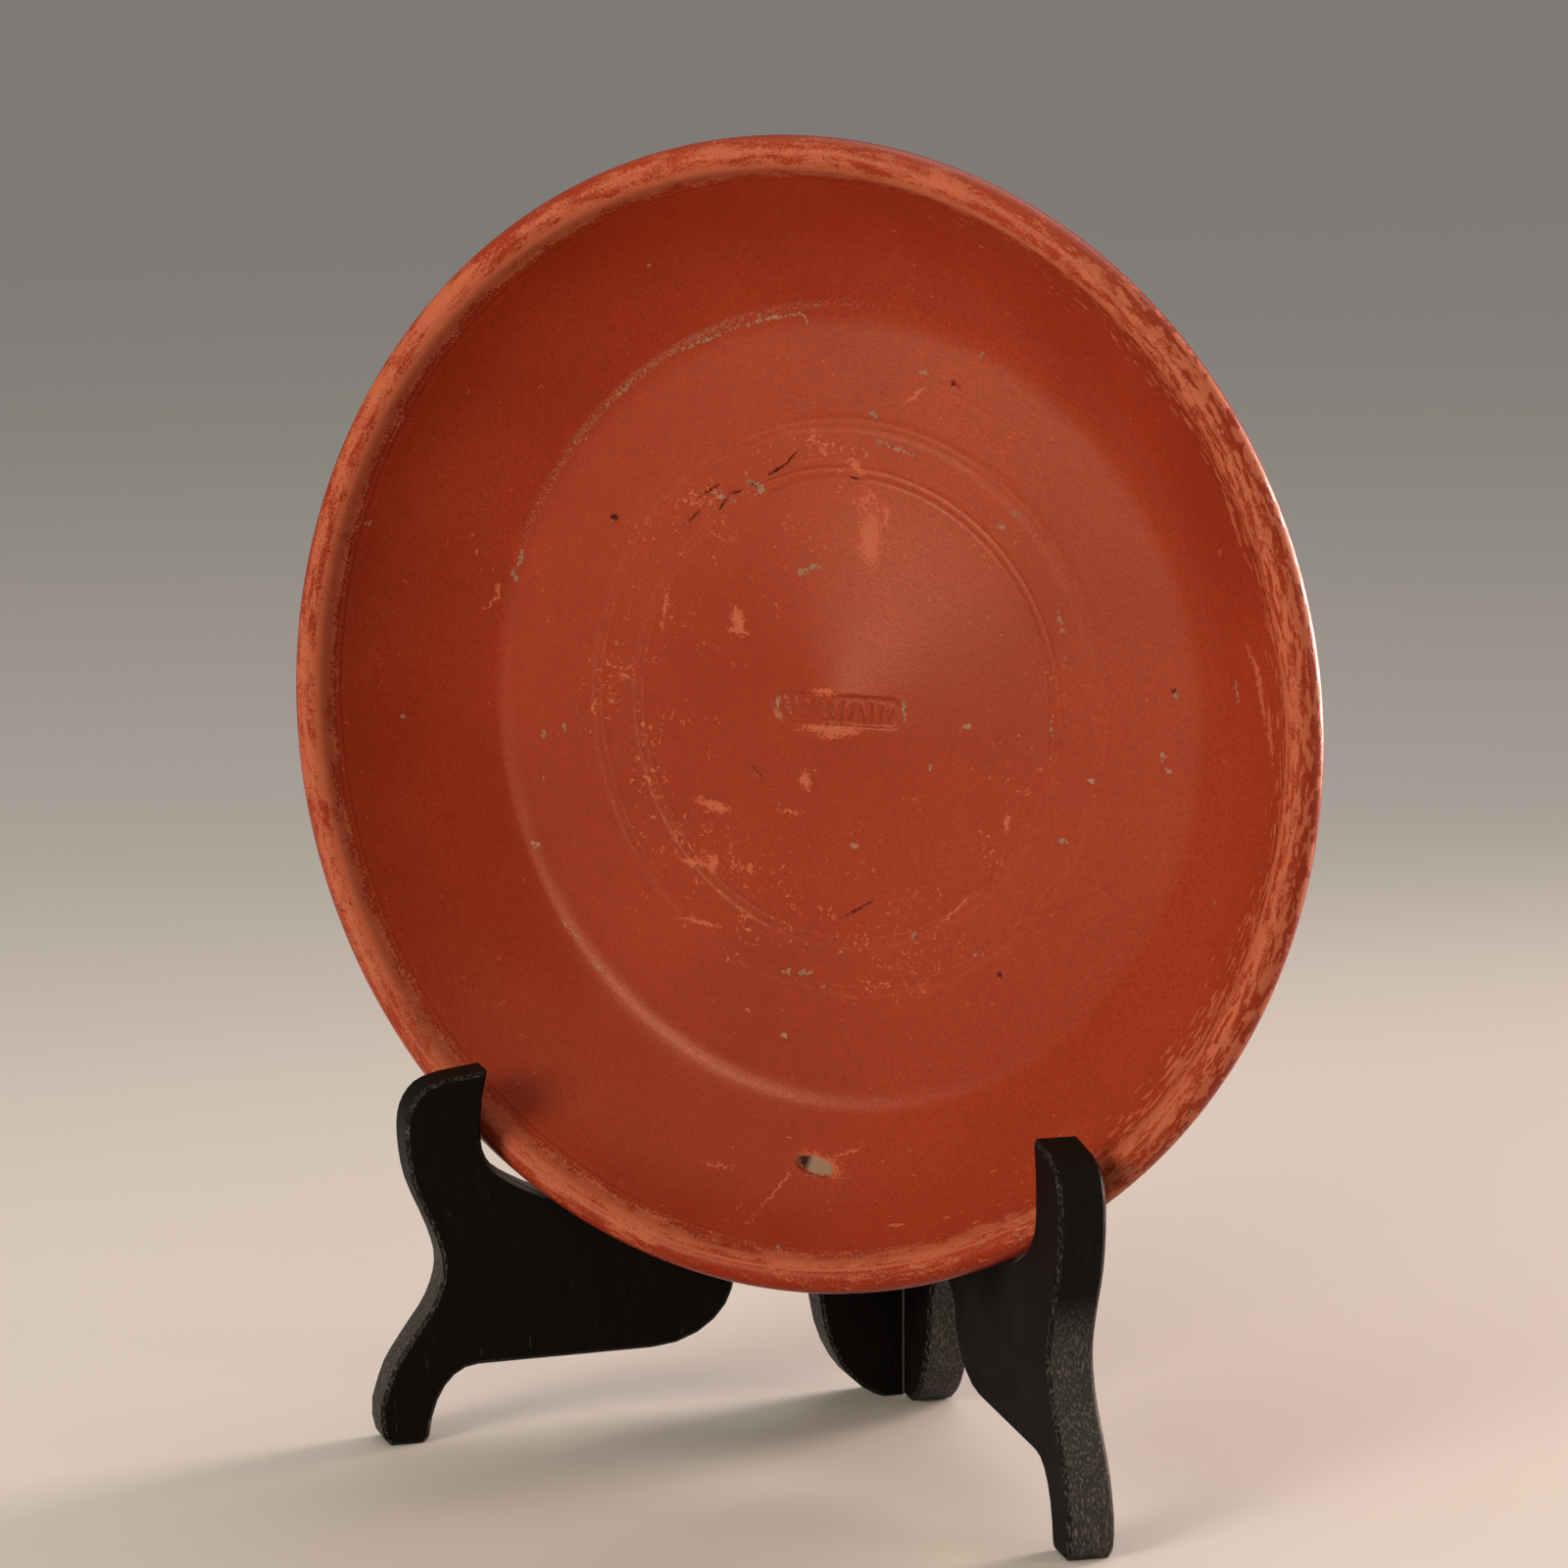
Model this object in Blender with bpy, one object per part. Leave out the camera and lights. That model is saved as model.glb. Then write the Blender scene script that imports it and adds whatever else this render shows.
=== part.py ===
"""Red-gloss pottery dish resting on a stand of two shaped wooden boards.

The dish faces -Y and leans back a little. The boards stand upright, meet at a line behind the dish and
spread forward in a V. Everything is in metres, +Z up, and the origin lies on the ground at the middle of
the whole thing's footprint.
"""
import math

import bmesh
import bpy
from mathutils import Matrix, Vector, geometry

# The dish, measured along its own axis from the plane that its foot ring stands on.
RIM_RADIUS = 0.088
DISH_HEIGHT = 0.037
FLOOR_RADIUS = 0.0622
FLOOR_THICKNESS = 0.006
BASE_RECESS = 0.008
CENTRE_RISE = 0.0030
CENTRE_RISE_RADIUS = 0.036
WALL_THICKNESS = 0.0046
WALL_BULGE = 0.0026
BEAD_WIDTH = 0.0054
BEAD_HEIGHT = 0.0058
BEAD_OVERHANG = 0.0009
LIP_GROOVE = 0.0003
FLOOR_FILLET = 0.0016
FOOT_RADIUS = 0.0455
FOOT_WIDTH = 0.0046
FOOT_TAPER = 0.0016
SCORED_RINGS = (0.0366, 0.0442)
SCORE_WIDTH = 0.0007
SCORE_DEPTH = 0.00025
DISH_STEPS = 88

# The sunk panel at the middle of the floor, with a row of shallow upright strokes. Its flat bottom lies
# PANEL_DEPTH below the floor at the panel's two ends, so it is deeper at the middle of the low cone.
PANEL_LENGTH = 0.0228
PANEL_WIDTH = 0.0046
PANEL_DEPTH = 0.0003
PANEL_CORNER_STEPS = 4
STROKE_COUNT = 9
STROKE_WIDTH = 0.0007
STROKE_HEIGHT = 0.0004
STROKE_MARGIN = 0.0006

# How the dish stands.
LEAN = math.radians(2.0)
CLEARANCE = 0.0003

# The two boards. A point of a board's outline is (reach, height): reach runs forward from the line where
# the boards meet.
SPREAD = math.radians(43.2)
BOARD_THICKNESS = 0.0072
EDGE_ROUND = 0.0006
UPRIGHT_WIDTH = 0.0096
UPRIGHT_ABOVE_AXIS = 0.014
NOTCH_HEIGHT = 0.0388
NOTCH_PLAY = 0.0004
CRADLE_MARGIN = 0.0042
PRONG_HEIGHT = 0.0205
PRONG_WIDTH = 0.0122
WAIST_DEPTH = 0.0058
WAIST_HEIGHT = 0.0280
FOOT_SPREAD = 0.0048
FOOT_LENGTH = 0.0058
KNEE_HEIGHT = 0.0065
SHELF_HEIGHT = 0.0120
REAR_LOBE_WIDTH = 0.0144
ARCH_WIDTH = 0.0150
ARCH_HEIGHT = 0.0280
ARCH_SHOULDER = 0.0135
REAR_FOOT_FLAT = 0.0034
CURVE_STEPS = 4

COLOURS = {
    "slip": (0.345, 0.048, 0.018),
    "wood": (0.012, 0.010, 0.009),
}


def remove_everything():
    for item in list(bpy.data.objects):
        bpy.data.objects.remove(item, do_unlink=True)


def make_material(name, colour, roughness):
    material = bpy.data.materials.new(name)
    material.use_nodes = True
    shader = material.node_tree.nodes["Principled BSDF"]
    shader.inputs["Base Color"].default_value = (*colour, 1.0)
    shader.inputs["Roughness"].default_value = roughness
    shader.inputs["Metallic"].default_value = 0.0
    return material


def bezier(start, handle_a, handle_b, end, steps):
    """Points of one cubic curve, without its first point."""
    corners = [Vector((*point, 0.0)) for point in (start, handle_a, handle_b, end)]
    points = geometry.interpolate_bezier(*corners, steps + 1)
    return [(point.x, point.y) for point in points[1:]]


def smooth_through(points, steps):
    """A smooth curve through every point, without the first one."""
    path = []
    for index in range(len(points) - 1):
        before = points[max(index - 1, 0)]
        here = points[index]
        there = points[index + 1]
        after = points[min(index + 2, len(points) - 1)]
        handle_a = tuple(here[k] + (there[k] - before[k]) / 6 for k in (0, 1))
        handle_b = tuple(there[k] - (after[k] - here[k]) / 6 for k in (0, 1))
        path += bezier(here, handle_a, handle_b, there, steps)
    return path


def arc(centre, radius, first, last, steps):
    """Points of an arc from angle first to angle last, in degrees."""
    points = []
    for step in range(steps + 1):
        angle = math.radians(first + (last - first) * step / steps)
        points.append((centre[0] + radius * math.cos(angle), centre[1] + radius * math.sin(angle)))
    return points


FLOOR_HEIGHT = BASE_RECESS + FLOOR_THICKNESS
BEAD_MIDDLE = DISH_HEIGHT - BEAD_HEIGHT / 2


def floor_height(radius):
    """Height of the inner floor: flat at the outside, a low cone with a blunt tip in the middle."""
    if radius >= CENTRE_RISE_RADIUS:
        return FLOOR_HEIGHT
    share = 1.0 - radius / CENTRE_RISE_RADIUS
    blunt = 0.16
    rounded = math.sqrt(share * share + blunt * blunt) - blunt
    tip = math.sqrt(1.0 + blunt * blunt) - blunt
    return FLOOR_HEIGHT + CENTRE_RISE * rounded / tip * (1.0 - 0.10 * share * share)


def inner_face():
    """Half profile of the inside, from the middle of the floor out to the foot of the rim bead."""
    points = [(0.0, floor_height(0.0))]
    points += [(radius, floor_height(radius)) for radius in (0.004, 0.010, 0.018, 0.027)]
    for ring in SCORED_RINGS:
        for offset, depth in ((-SCORE_WIDTH, 0.0), (0.0, SCORE_DEPTH), (SCORE_WIDTH, 0.0)):
            points.append((ring + offset, floor_height(ring + offset) - depth))
    points.append((FLOOR_RADIUS - FLOOR_FILLET, FLOOR_HEIGHT))
    wall_start = (FLOOR_RADIUS + FLOOR_FILLET * 0.8, FLOOR_HEIGHT + FLOOR_FILLET * 0.45)
    points.append((FLOOR_RADIUS, FLOOR_HEIGHT + FLOOR_FILLET * 0.10))
    points.append(wall_start)
    wall_end = (RIM_RADIUS - BEAD_WIDTH, DISH_HEIGHT - BEAD_HEIGHT * 0.62)
    points += wall_curve(wall_start, wall_end, 5)
    return points


def wall_curve(start, end, steps):
    """A wall that swells outwards by WALL_BULGE between two points of the profile."""
    along = Vector(end) - Vector(start)
    outward = Vector((along.y, -along.x)).normalized()
    points = []
    for step in range(1, steps + 1):
        share = step / steps
        swell = WALL_BULGE * 4 * share * (1 - share)
        point = Vector(start) + along * share + outward * swell
        points.append((point.x, point.y))
    return points


def rim_bead():
    """The rounded bead at the rim, from its inner side over the top and down its outer side."""
    middle = (RIM_RADIUS - BEAD_WIDTH / 2, BEAD_MIDDLE)
    points = [(RIM_RADIUS - BEAD_WIDTH + LIP_GROOVE, DISH_HEIGHT - BEAD_HEIGHT * 0.50)]
    for angle in (155, 128, 100, 72, 45, 20, 0, -25, -50):
        turn = math.radians(angle)
        points.append((middle[0] + BEAD_WIDTH / 2 * math.cos(turn), middle[1] + BEAD_HEIGHT / 2 * math.sin(turn)))
    return points


def outer_face():
    """Half profile of the outside, from under the bead down to the foot ring and in to the middle."""
    wall_top = (RIM_RADIUS - BEAD_OVERHANG - 0.0012, DISH_HEIGHT - BEAD_HEIGHT - 0.0004)
    foot_top = (FOOT_RADIUS + FOOT_TAPER, BASE_RECESS + 0.0010)
    wall_foot = (FLOOR_RADIUS + WALL_THICKNESS * 0.80, FLOOR_HEIGHT - FLOOR_THICKNESS * 0.50)
    points = [wall_top]
    points += [point for point in reversed(wall_curve(wall_foot, wall_top, 5))][1:]
    points.append(wall_foot)
    points.append(((wall_foot[0] + foot_top[0]) / 2, foot_top[1] + (wall_foot[1] - foot_top[1]) * 0.35))
    points.append(foot_top)
    points += [(FOOT_RADIUS, 0.0008), (FOOT_RADIUS - 0.0008, 0.0)]
    points += [(FOOT_RADIUS - FOOT_WIDTH + 0.0008, 0.0), (FOOT_RADIUS - FOOT_WIDTH, 0.0008)]
    points.append((FOOT_RADIUS - FOOT_WIDTH - FOOT_TAPER, BASE_RECESS - 0.0008))
    points.append((FOOT_RADIUS - FOOT_WIDTH - FOOT_TAPER - 0.0012, BASE_RECESS))
    under_rise = CENTRE_RISE * 0.5
    points += [(0.020, BASE_RECESS + under_rise * 0.35), (0.0, BASE_RECESS + under_rise)]
    return points


def dish_profile():
    return inner_face() + rim_bead() + outer_face()


def turned_mesh(name, profile, steps):
    """A mesh turned about Z from a profile whose first and last points lie on the axis."""
    shape = bmesh.new()
    corners = [shape.verts.new((radius, 0.0, height)) for radius, height in profile]
    edges = [shape.edges.new(pair) for pair in zip(corners[:-1], corners[1:])]
    bmesh.ops.spin(shape, geom=corners + edges, cent=(0, 0, 0), axis=(0, 0, 1), dvec=(0, 0, 0),
                   angle=math.tau, steps=steps, use_merge=False, use_duplicate=False)
    bmesh.ops.remove_doubles(shape, verts=shape.verts[:], dist=0.00001)
    bmesh.ops.recalc_face_normals(shape, faces=shape.faces[:])
    mesh = bpy.data.meshes.new(name)
    shape.to_mesh(mesh)
    shape.free()
    return mesh


def prism(shape, outline, low, high):
    """Adds a closed prism over an outline in the XY plane."""
    bottom = [shape.verts.new((x, y, low)) for x, y in outline]
    top = [shape.verts.new((x, y, high)) for x, y in outline]
    shape.faces.new(list(reversed(bottom)))
    shape.faces.new(top)
    for index in range(len(outline)):
        after = (index + 1) % len(outline)
        shape.faces.new((bottom[index], bottom[after], top[after], top[index]))


def panel_bottom():
    return floor_height(PANEL_LENGTH / 2) - PANEL_DEPTH


def panel_outline():
    """The sunk panel's outline: a bar with round ends."""
    half = PANEL_WIDTH / 2
    middle = PANEL_LENGTH / 2 - half
    right = arc((middle, 0.0), half, -90, 90, 2 * PANEL_CORNER_STEPS)
    left = arc((-middle, 0.0), half, 90, 270, 2 * PANEL_CORNER_STEPS)
    return right + left


def panel_cutter():
    """The bar-shaped block that is cut out of the floor for the panel."""
    shape = bmesh.new()
    prism(shape, panel_outline(), panel_bottom(), floor_height(0.0) + PANEL_WIDTH)
    bmesh.ops.recalc_face_normals(shape, faces=shape.faces[:])
    mesh = bpy.data.meshes.new("panel_cutter")
    shape.to_mesh(mesh)
    shape.free()
    return as_cutter("panel_cutter", mesh)


def stroke_block():
    """The row of strokes: thin upright bars of different heights, in no alphabet."""
    shape = bmesh.new()
    low = panel_bottom() - STROKE_HEIGHT
    high = panel_bottom() + STROKE_HEIGHT
    span = PANEL_LENGTH - PANEL_WIDTH
    half_height = PANEL_WIDTH / 2 - STROKE_MARGIN
    for index in range(STROKE_COUNT):
        middle = -span / 2 + span * index / (STROKE_COUNT - 1)
        short = 1.0 - 0.35 * (index % 3) / 2
        top = half_height * short
        bottom = -half_height * (1.0 - 0.25 * (index % 2))
        half = STROKE_WIDTH / 2
        corners = [(middle - half, bottom), (middle + half, bottom), (middle + half, top), (middle - half, top)]
        prism(shape, corners, low, high)
    bmesh.ops.recalc_face_normals(shape, faces=shape.faces[:])
    mesh = bpy.data.meshes.new("stroke_block")
    shape.to_mesh(mesh)
    shape.free()
    return as_cutter("stroke_block", mesh)


def as_cutter(name, mesh):
    item = bpy.data.objects.new(name, mesh)
    bpy.context.scene.collection.objects.link(item)
    item.hide_render = True
    item.display_type = "WIRE"
    return item


def add_boolean(item, name, operation, tool):
    modifier = item.modifiers.new(name, "BOOLEAN")
    modifier.operation = operation
    modifier.solver = "EXACT"
    modifier.object = tool


# Where the dish and the boards meet, worked out before either is placed. Here the boards meet at x = y = 0.
INWARD = CLEARANCE / 2 - EDGE_ROUND * min(math.sin(SPREAD), math.cos(SPREAD))


def board_point(reach, height, depth):
    """World place of a point of the right-hand board; depth runs from its inner face to its outer one."""
    x = INWARD + reach * math.sin(SPREAD) + depth * math.cos(SPREAD)
    y = -reach * math.cos(SPREAD) + depth * math.sin(SPREAD)
    return Vector((x, y, height))


def dish_frame(height):
    """The dish's matrix with the middle of its foot plane at this height, just clear of the uprights."""
    edge = board_point(UPRIGHT_WIDTH, height, EDGE_ROUND)
    place = Matrix.Translation((0.0, edge.y - CLEARANCE / math.cos(LEAN), height))
    return place @ Matrix.Rotation(math.pi / 2 - LEAN, 4, "X")


def crossing(radius, level, depth, height):
    """(reach, height) at which the lower part of one circle of the dish passes through a board."""
    frame = dish_frame(height)
    reach = UPRIGHT_WIDTH + level
    for _ in range(8):
        across = board_point(reach, 0.0, depth).x
        drop = math.sqrt(max(radius ** 2 - across ** 2, 0.0))
        point = frame @ Vector((across, -drop, level))
        reach = (depth * math.sin(SPREAD) - point.y) / math.cos(SPREAD)
    return reach, point.z


def nominal_height():
    """Height of the dish's axis that puts the lowest line of its rim just over the notches."""
    _, low = crossing(RIM_RADIUS, BEAD_MIDDLE, EDGE_ROUND, 0.0)
    return NOTCH_HEIGHT + CLEARANCE - low


def prong_reach(height):
    """How far forward the back of the prong stands: past the bead, where it leaves the board's outer face."""
    front, _ = crossing(RIM_RADIUS - BEAD_WIDTH / 2, DISH_HEIGHT, BOARD_THICKNESS, height)
    return front + NOTCH_PLAY


def notch_curve(height):
    """From the prong's tip down its back and round the notch to just behind the place where the rim rests."""
    prong = prong_reach(height)
    rest, _ = crossing(RIM_RADIUS, BEAD_MIDDLE, EDGE_ROUND, height)
    _, outer_low = crossing(RIM_RADIUS, BEAD_MIDDLE, BOARD_THICKNESS, height)
    top = NOTCH_HEIGHT + PRONG_HEIGHT
    back = [
        (prong - 0.0012, top),
        (prong - 0.0003, top - 0.0045),
        (prong, top - 0.0090),
        (prong, outer_low + 0.0038),
    ]
    notch = bezier(back[-1], (prong, outer_low - 0.0006), (prong - 0.0042, NOTCH_HEIGHT + 0.0028),
                   (rest, NOTCH_HEIGHT), 2 * CURVE_STEPS)
    return [back[0]] + smooth_through(back, 2) + notch + [(rest - 0.0030, NOTCH_HEIGHT - 0.0005)]


def distance_to_profile(point, profile):
    """Distance from a point, given in the dish's own frame, to the dish's turned surface."""
    flat = Vector((math.hypot(point.x, point.y), point.z))
    best = RIM_RADIUS
    for start, end in zip(profile[:-1], profile[1:]):
        a = Vector(start)
        along = Vector(end) - a
        share = min(max((flat - a).dot(along) / along.length_squared, 0.0), 1.0)
        best = min(best, (flat - a - along * share).length)
    return best


def rest_height(curve):
    """Height of the dish's axis at which its rim comes down to the named clearance from the notches."""
    rim = rim_bead()
    samples = list(curve)
    samples += [((a[0] + b[0]) / 2, (a[1] + b[1]) / 2) for a, b in zip(curve[:-1], curve[1:])]
    depths = (EDGE_ROUND, BOARD_THICKNESS / 2, BOARD_THICKNESS - EDGE_ROUND)
    low = nominal_height() - BEAD_HEIGHT / 2
    high = nominal_height() + BEAD_HEIGHT / 2
    for _ in range(20):
        middle = (low + high) / 2
        into_dish = dish_frame(middle).inverted()
        gap = min(distance_to_profile(into_dish @ board_point(reach, height, depth), rim)
                  for reach, height in samples for depth in depths)
        if gap < CLEARANCE:
            low = middle
        else:
            high = middle
    return high


def upright_reach(height, axis_height):
    """Front edge of the upright: it leans with the dish, and carries the foot ring's face."""
    return UPRIGHT_WIDTH - (height - axis_height) * math.tan(LEAN) / math.cos(SPREAD)


def lower_edge(knee):
    """The board's underside: rear foot, arch, shelf and the toe of the front foot."""
    lobe = REAR_LOBE_WIDTH
    arch_side = (lobe, SHELF_HEIGHT + 0.0040)
    arch_end = (lobe + ARCH_WIDTH, SHELF_HEIGHT + 0.0085)
    shelf_start = (arch_end[0] + ARCH_SHOULDER, SHELF_HEIGHT)
    foot_front = knee - 0.0018
    foot_back = foot_front - FOOT_LENGTH
    shelf_end = (foot_back - 0.0085, SHELF_HEIGHT)
    edge = [(0.0, 0.0), (REAR_FOOT_FLAT, 0.0)]
    edge += bezier(edge[-1], (lobe * 0.55, 0.0010), (lobe * 0.92, SHELF_HEIGHT * 0.55), arch_side, 7)
    edge += bezier(arch_side, (lobe + 0.0002, ARCH_HEIGHT), (arch_end[0] - 0.0002, ARCH_HEIGHT + 0.0010),
                   arch_end, 9)
    edge += bezier(arch_end, (arch_end[0] + 0.0010, SHELF_HEIGHT + 0.0045),
                   (shelf_start[0] - 0.0075, SHELF_HEIGHT), shelf_start, 5)
    edge.append(shelf_end)
    edge += bezier(shelf_end, (shelf_end[0] + 0.0045, SHELF_HEIGHT),
                   (foot_back - 0.0010, SHELF_HEIGHT * 0.62), (foot_back - 0.0003, 0.0009), 6)
    edge += [(foot_back + 0.0006, 0.0), (foot_front, 0.0)]
    edge += bezier(edge[-1], (knee - 0.0004, 0.0004), (knee + 0.0002, KNEE_HEIGHT * 0.55),
                   (knee - 0.0002, KNEE_HEIGHT), 3)
    return edge


def front_edge(knee, front):
    """From the knee of the front foot up over the waist to the prong's round head."""
    waist = front - WAIST_DEPTH
    top = NOTCH_HEIGHT + PRONG_HEIGHT
    return smooth_through([
        (knee - 0.0002, KNEE_HEIGHT),
        (knee - 0.0022, KNEE_HEIGHT + 0.0058),
        (waist + 0.0050, WAIST_HEIGHT - 0.0105),
        (waist + 0.0016, WAIST_HEIGHT - 0.0055),
        (waist, WAIST_HEIGHT),
        (waist + 0.0012, WAIST_HEIGHT + 0.0055),
        (front - 0.0012, top - 0.0175),
        (front - 0.0001, top - 0.0105),
        (front - 0.0006, top - 0.0056),
        (front - 0.0030, top - 0.0022),
        (front - 0.0068, top - 0.0008),
    ], 3)


def cradle_edge(start, axis_height):
    """From behind the notch up under the dish's wall to the upright, always a margin away from the dish."""
    stations = [
        (RIM_RADIUS * 0.89, DISH_HEIGHT * 0.55, -0.30, -1.00),
        (FLOOR_RADIUS + WALL_THICKNESS, FLOOR_HEIGHT - FLOOR_THICKNESS * 0.5, -0.60, -1.00),
    ]
    path = [start]
    for radius, level, aside, down in stations:
        reach, height = crossing(radius, level, EDGE_ROUND, axis_height)
        path.append((reach + aside * CRADLE_MARGIN, height + down * CRADLE_MARGIN))
    ring_bottom = axis_height - FOOT_RADIUS
    edge = upright_reach(ring_bottom, axis_height)
    path.append((edge + 1.3 * CRADLE_MARGIN, ring_bottom - 2.6 * CRADLE_MARGIN))
    path.append((edge + 0.1 * CRADLE_MARGIN, ring_bottom - 0.5 * CRADLE_MARGIN))
    return smooth_through(path, CURVE_STEPS)


def upright_edge(axis_height):
    """The upright's front edge and its rounded top."""
    top = axis_height + UPRIGHT_ABOVE_AXIS
    shoulder = top - 0.0070
    width = upright_reach(shoulder, axis_height)
    edge = [(upright_reach(axis_height - FOOT_RADIUS, axis_height), axis_height - FOOT_RADIUS)]
    edge.append((width, shoulder))
    edge += bezier((width, shoulder), (width, top - 0.0010), (width * 0.80, top), (width * 0.50, top), 5)
    edge += bezier((width * 0.50, top), (width * 0.20, top), (0.0, top - 0.0010), (0.0, top - 0.0050), 4)
    return edge


def board_outline(axis_height, curve):
    """The sawn outline of a board, anticlockwise from the bottom of the line where the boards meet."""
    front = prong_reach(nominal_height()) + PRONG_WIDTH
    knee = front + FOOT_SPREAD
    outline = lower_edge(knee) + front_edge(knee, front) + curve
    outline += cradle_edge(curve[-1], axis_height)
    outline += upright_edge(axis_height)
    return outline


def make_board(name, outline, side, material, shift):
    """One board: side is 1 for the right-hand one and -1 for its mirror image."""
    shape = bmesh.new()
    corners = []
    for reach, height in outline:
        place = board_point(reach, height, EDGE_ROUND)
        corners.append(shape.verts.new((place.x * side, place.y, place.z)))
    inner = shape.faces.new(corners)
    outward = board_point(0.0, 0.0, 1.0) - board_point(0.0, 0.0, 0.0)
    across = Vector((outward.x * side, outward.y, 0.0)) * (BOARD_THICKNESS - 2 * EDGE_ROUND)
    grown = bmesh.ops.extrude_face_region(shape, geom=[inner], use_keep_orig=True)
    moved = [part for part in grown["geom"] if isinstance(part, bmesh.types.BMVert)]
    bmesh.ops.translate(shape, verts=moved, vec=across)
    bmesh.ops.recalc_face_normals(shape, faces=shape.faces[:])
    caps = [face for face in shape.faces if len(face.verts) == len(outline)]
    bmesh.ops.inset_region(shape, faces=caps, thickness=EDGE_ROUND, depth=EDGE_ROUND,
                           use_boundary=True, use_even_offset=True)
    caps = [face for face in shape.faces if len(face.verts) > 4]
    bmesh.ops.triangulate(shape, faces=caps, ngon_method="EAR_CLIP")
    bmesh.ops.recalc_face_normals(shape, faces=shape.faces[:])
    mesh = bpy.data.meshes.new(name)
    shape.to_mesh(mesh)
    shape.free()
    mesh.shade_smooth()
    mesh.set_sharp_from_angle(angle=math.radians(40))
    mesh.materials.append(material)
    board = bpy.data.objects.new(name, mesh)
    board.location = (0.0, shift, 0.0)
    bpy.context.scene.collection.objects.link(board)
    return board


def make_dish(material, axis_height, shift):
    mesh = turned_mesh("dish", dish_profile(), DISH_STEPS)
    mesh.shade_smooth()
    mesh.set_sharp_from_angle(angle=math.radians(35))
    mesh.materials.append(material)
    dish = bpy.data.objects.new("dish", mesh)
    bpy.context.scene.collection.objects.link(dish)
    cutter = panel_cutter()
    strokes = stroke_block()
    add_boolean(dish, "sink the panel", "DIFFERENCE", cutter)
    add_boolean(dish, "leave the strokes", "UNION", strokes)
    dish.matrix_world = Matrix.Translation((0.0, shift, 0.0)) @ dish_frame(axis_height)
    for tool in (cutter, strokes):
        tool.parent = dish
    return dish


def main():
    remove_everything()
    slip = make_material("red slip", COLOURS["slip"], 0.42)
    wood = make_material("black stained wood", COLOURS["wood"], 0.45)
    curve = notch_curve(nominal_height())
    axis_height = rest_height(curve)
    outline = board_outline(axis_height, curve)
    furthest = max(reach for reach, _ in outline)
    front = board_point(furthest, 0.0, EDGE_ROUND).y
    back = board_point(0.0, 0.0, BOARD_THICKNESS - EDGE_ROUND).y
    shift = -(front + back) / 2
    make_dish(slip, axis_height, shift)
    make_board("stand_board_right", outline, 1, wood, shift)
    make_board("stand_board_left", outline, -1, wood, shift)
    print("axis height", round(axis_height, 5), "shift", round(shift, 5), "furthest", round(furthest, 5))


main()
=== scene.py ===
# %% [markdown]
# # A red-gloss dish on its wooden stand
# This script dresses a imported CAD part. The part is a Roman table dish of fired clay with a red gloss
# slip, leaning on a stand of two black-stained boards. The boards' CAD shapes stay and get a wood finish.
# The dish is turned again here with finer curves, its worn stamp, scratches, pits and chip.
# Everything is in metres. Z is up, and the open side of the dish faces -Y.

# %% Load the frame
import math

import bpy
import numpy as np
from mathutils import Matrix, Vector


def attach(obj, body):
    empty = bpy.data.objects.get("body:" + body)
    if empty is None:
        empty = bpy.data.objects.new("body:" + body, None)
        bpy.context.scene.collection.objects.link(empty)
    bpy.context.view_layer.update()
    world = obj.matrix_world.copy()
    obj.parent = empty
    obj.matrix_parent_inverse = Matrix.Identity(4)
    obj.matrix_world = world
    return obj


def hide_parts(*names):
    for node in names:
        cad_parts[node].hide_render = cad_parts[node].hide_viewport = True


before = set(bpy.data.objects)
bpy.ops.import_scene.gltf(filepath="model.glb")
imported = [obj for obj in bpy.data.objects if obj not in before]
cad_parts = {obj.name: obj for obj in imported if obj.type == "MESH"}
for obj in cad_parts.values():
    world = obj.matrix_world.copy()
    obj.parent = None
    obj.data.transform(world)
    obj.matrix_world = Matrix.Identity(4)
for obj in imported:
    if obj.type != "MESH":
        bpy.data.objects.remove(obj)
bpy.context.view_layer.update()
MM = 0.001

# %% [markdown]
# ## Where the dish sits
# The dish's own frame has its origin in the middle of the plane that the foot ring stands on, its X to
# the right, its Y up the leaning dish and its Z out of the open side. The part's source works this place
# out from the uprights and the notches, and the same numbers are repeated here.

# %% Place of the dish
LEAN = math.radians(2.0)
FOOT_MIDDLE = Vector((0.0, 22.507, 115.54)) * MM
DISH_TURN = (math.pi / 2 - LEAN, 0.0, 0.0)
DISH_OUTWARD = (0.0, -math.cos(LEAN), math.sin(LEAN))

# %% [markdown]
# ## Camera
# The camera's place was worked out from the photograph: the rim's and the floor's outlines are ellipses,
# and the two boards give the height of the eye. It stands to the right of the dish's axis, a little above
# it, with a long lens. Azimuth is measured from the dish's own front, pitch is how far it looks down.

# %% Camera
CAMERA_PLACE = Vector((337.8, -626.6, 224.4)) * MM
CAMERA_AZIMUTH = math.radians(28.74)
CAMERA_PITCH = math.radians(9.49)
CAMERA_ROLL = math.radians(0.22)
LENS = 107.64

sin_a, cos_a = math.sin(CAMERA_AZIMUTH), math.cos(CAMERA_AZIMUTH)
sin_p, cos_p = math.sin(CAMERA_PITCH), math.cos(CAMERA_PITCH)
level_right = Vector((cos_a, sin_a, 0.0))
level_down = Vector((sin_a * sin_p, -cos_a * sin_p, -cos_p))
forward = Vector((-sin_a * cos_p, cos_a * cos_p, -sin_p))
right = level_right * math.cos(CAMERA_ROLL) + level_down * math.sin(CAMERA_ROLL)
down = level_down * math.cos(CAMERA_ROLL) - level_right * math.sin(CAMERA_ROLL)

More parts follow.
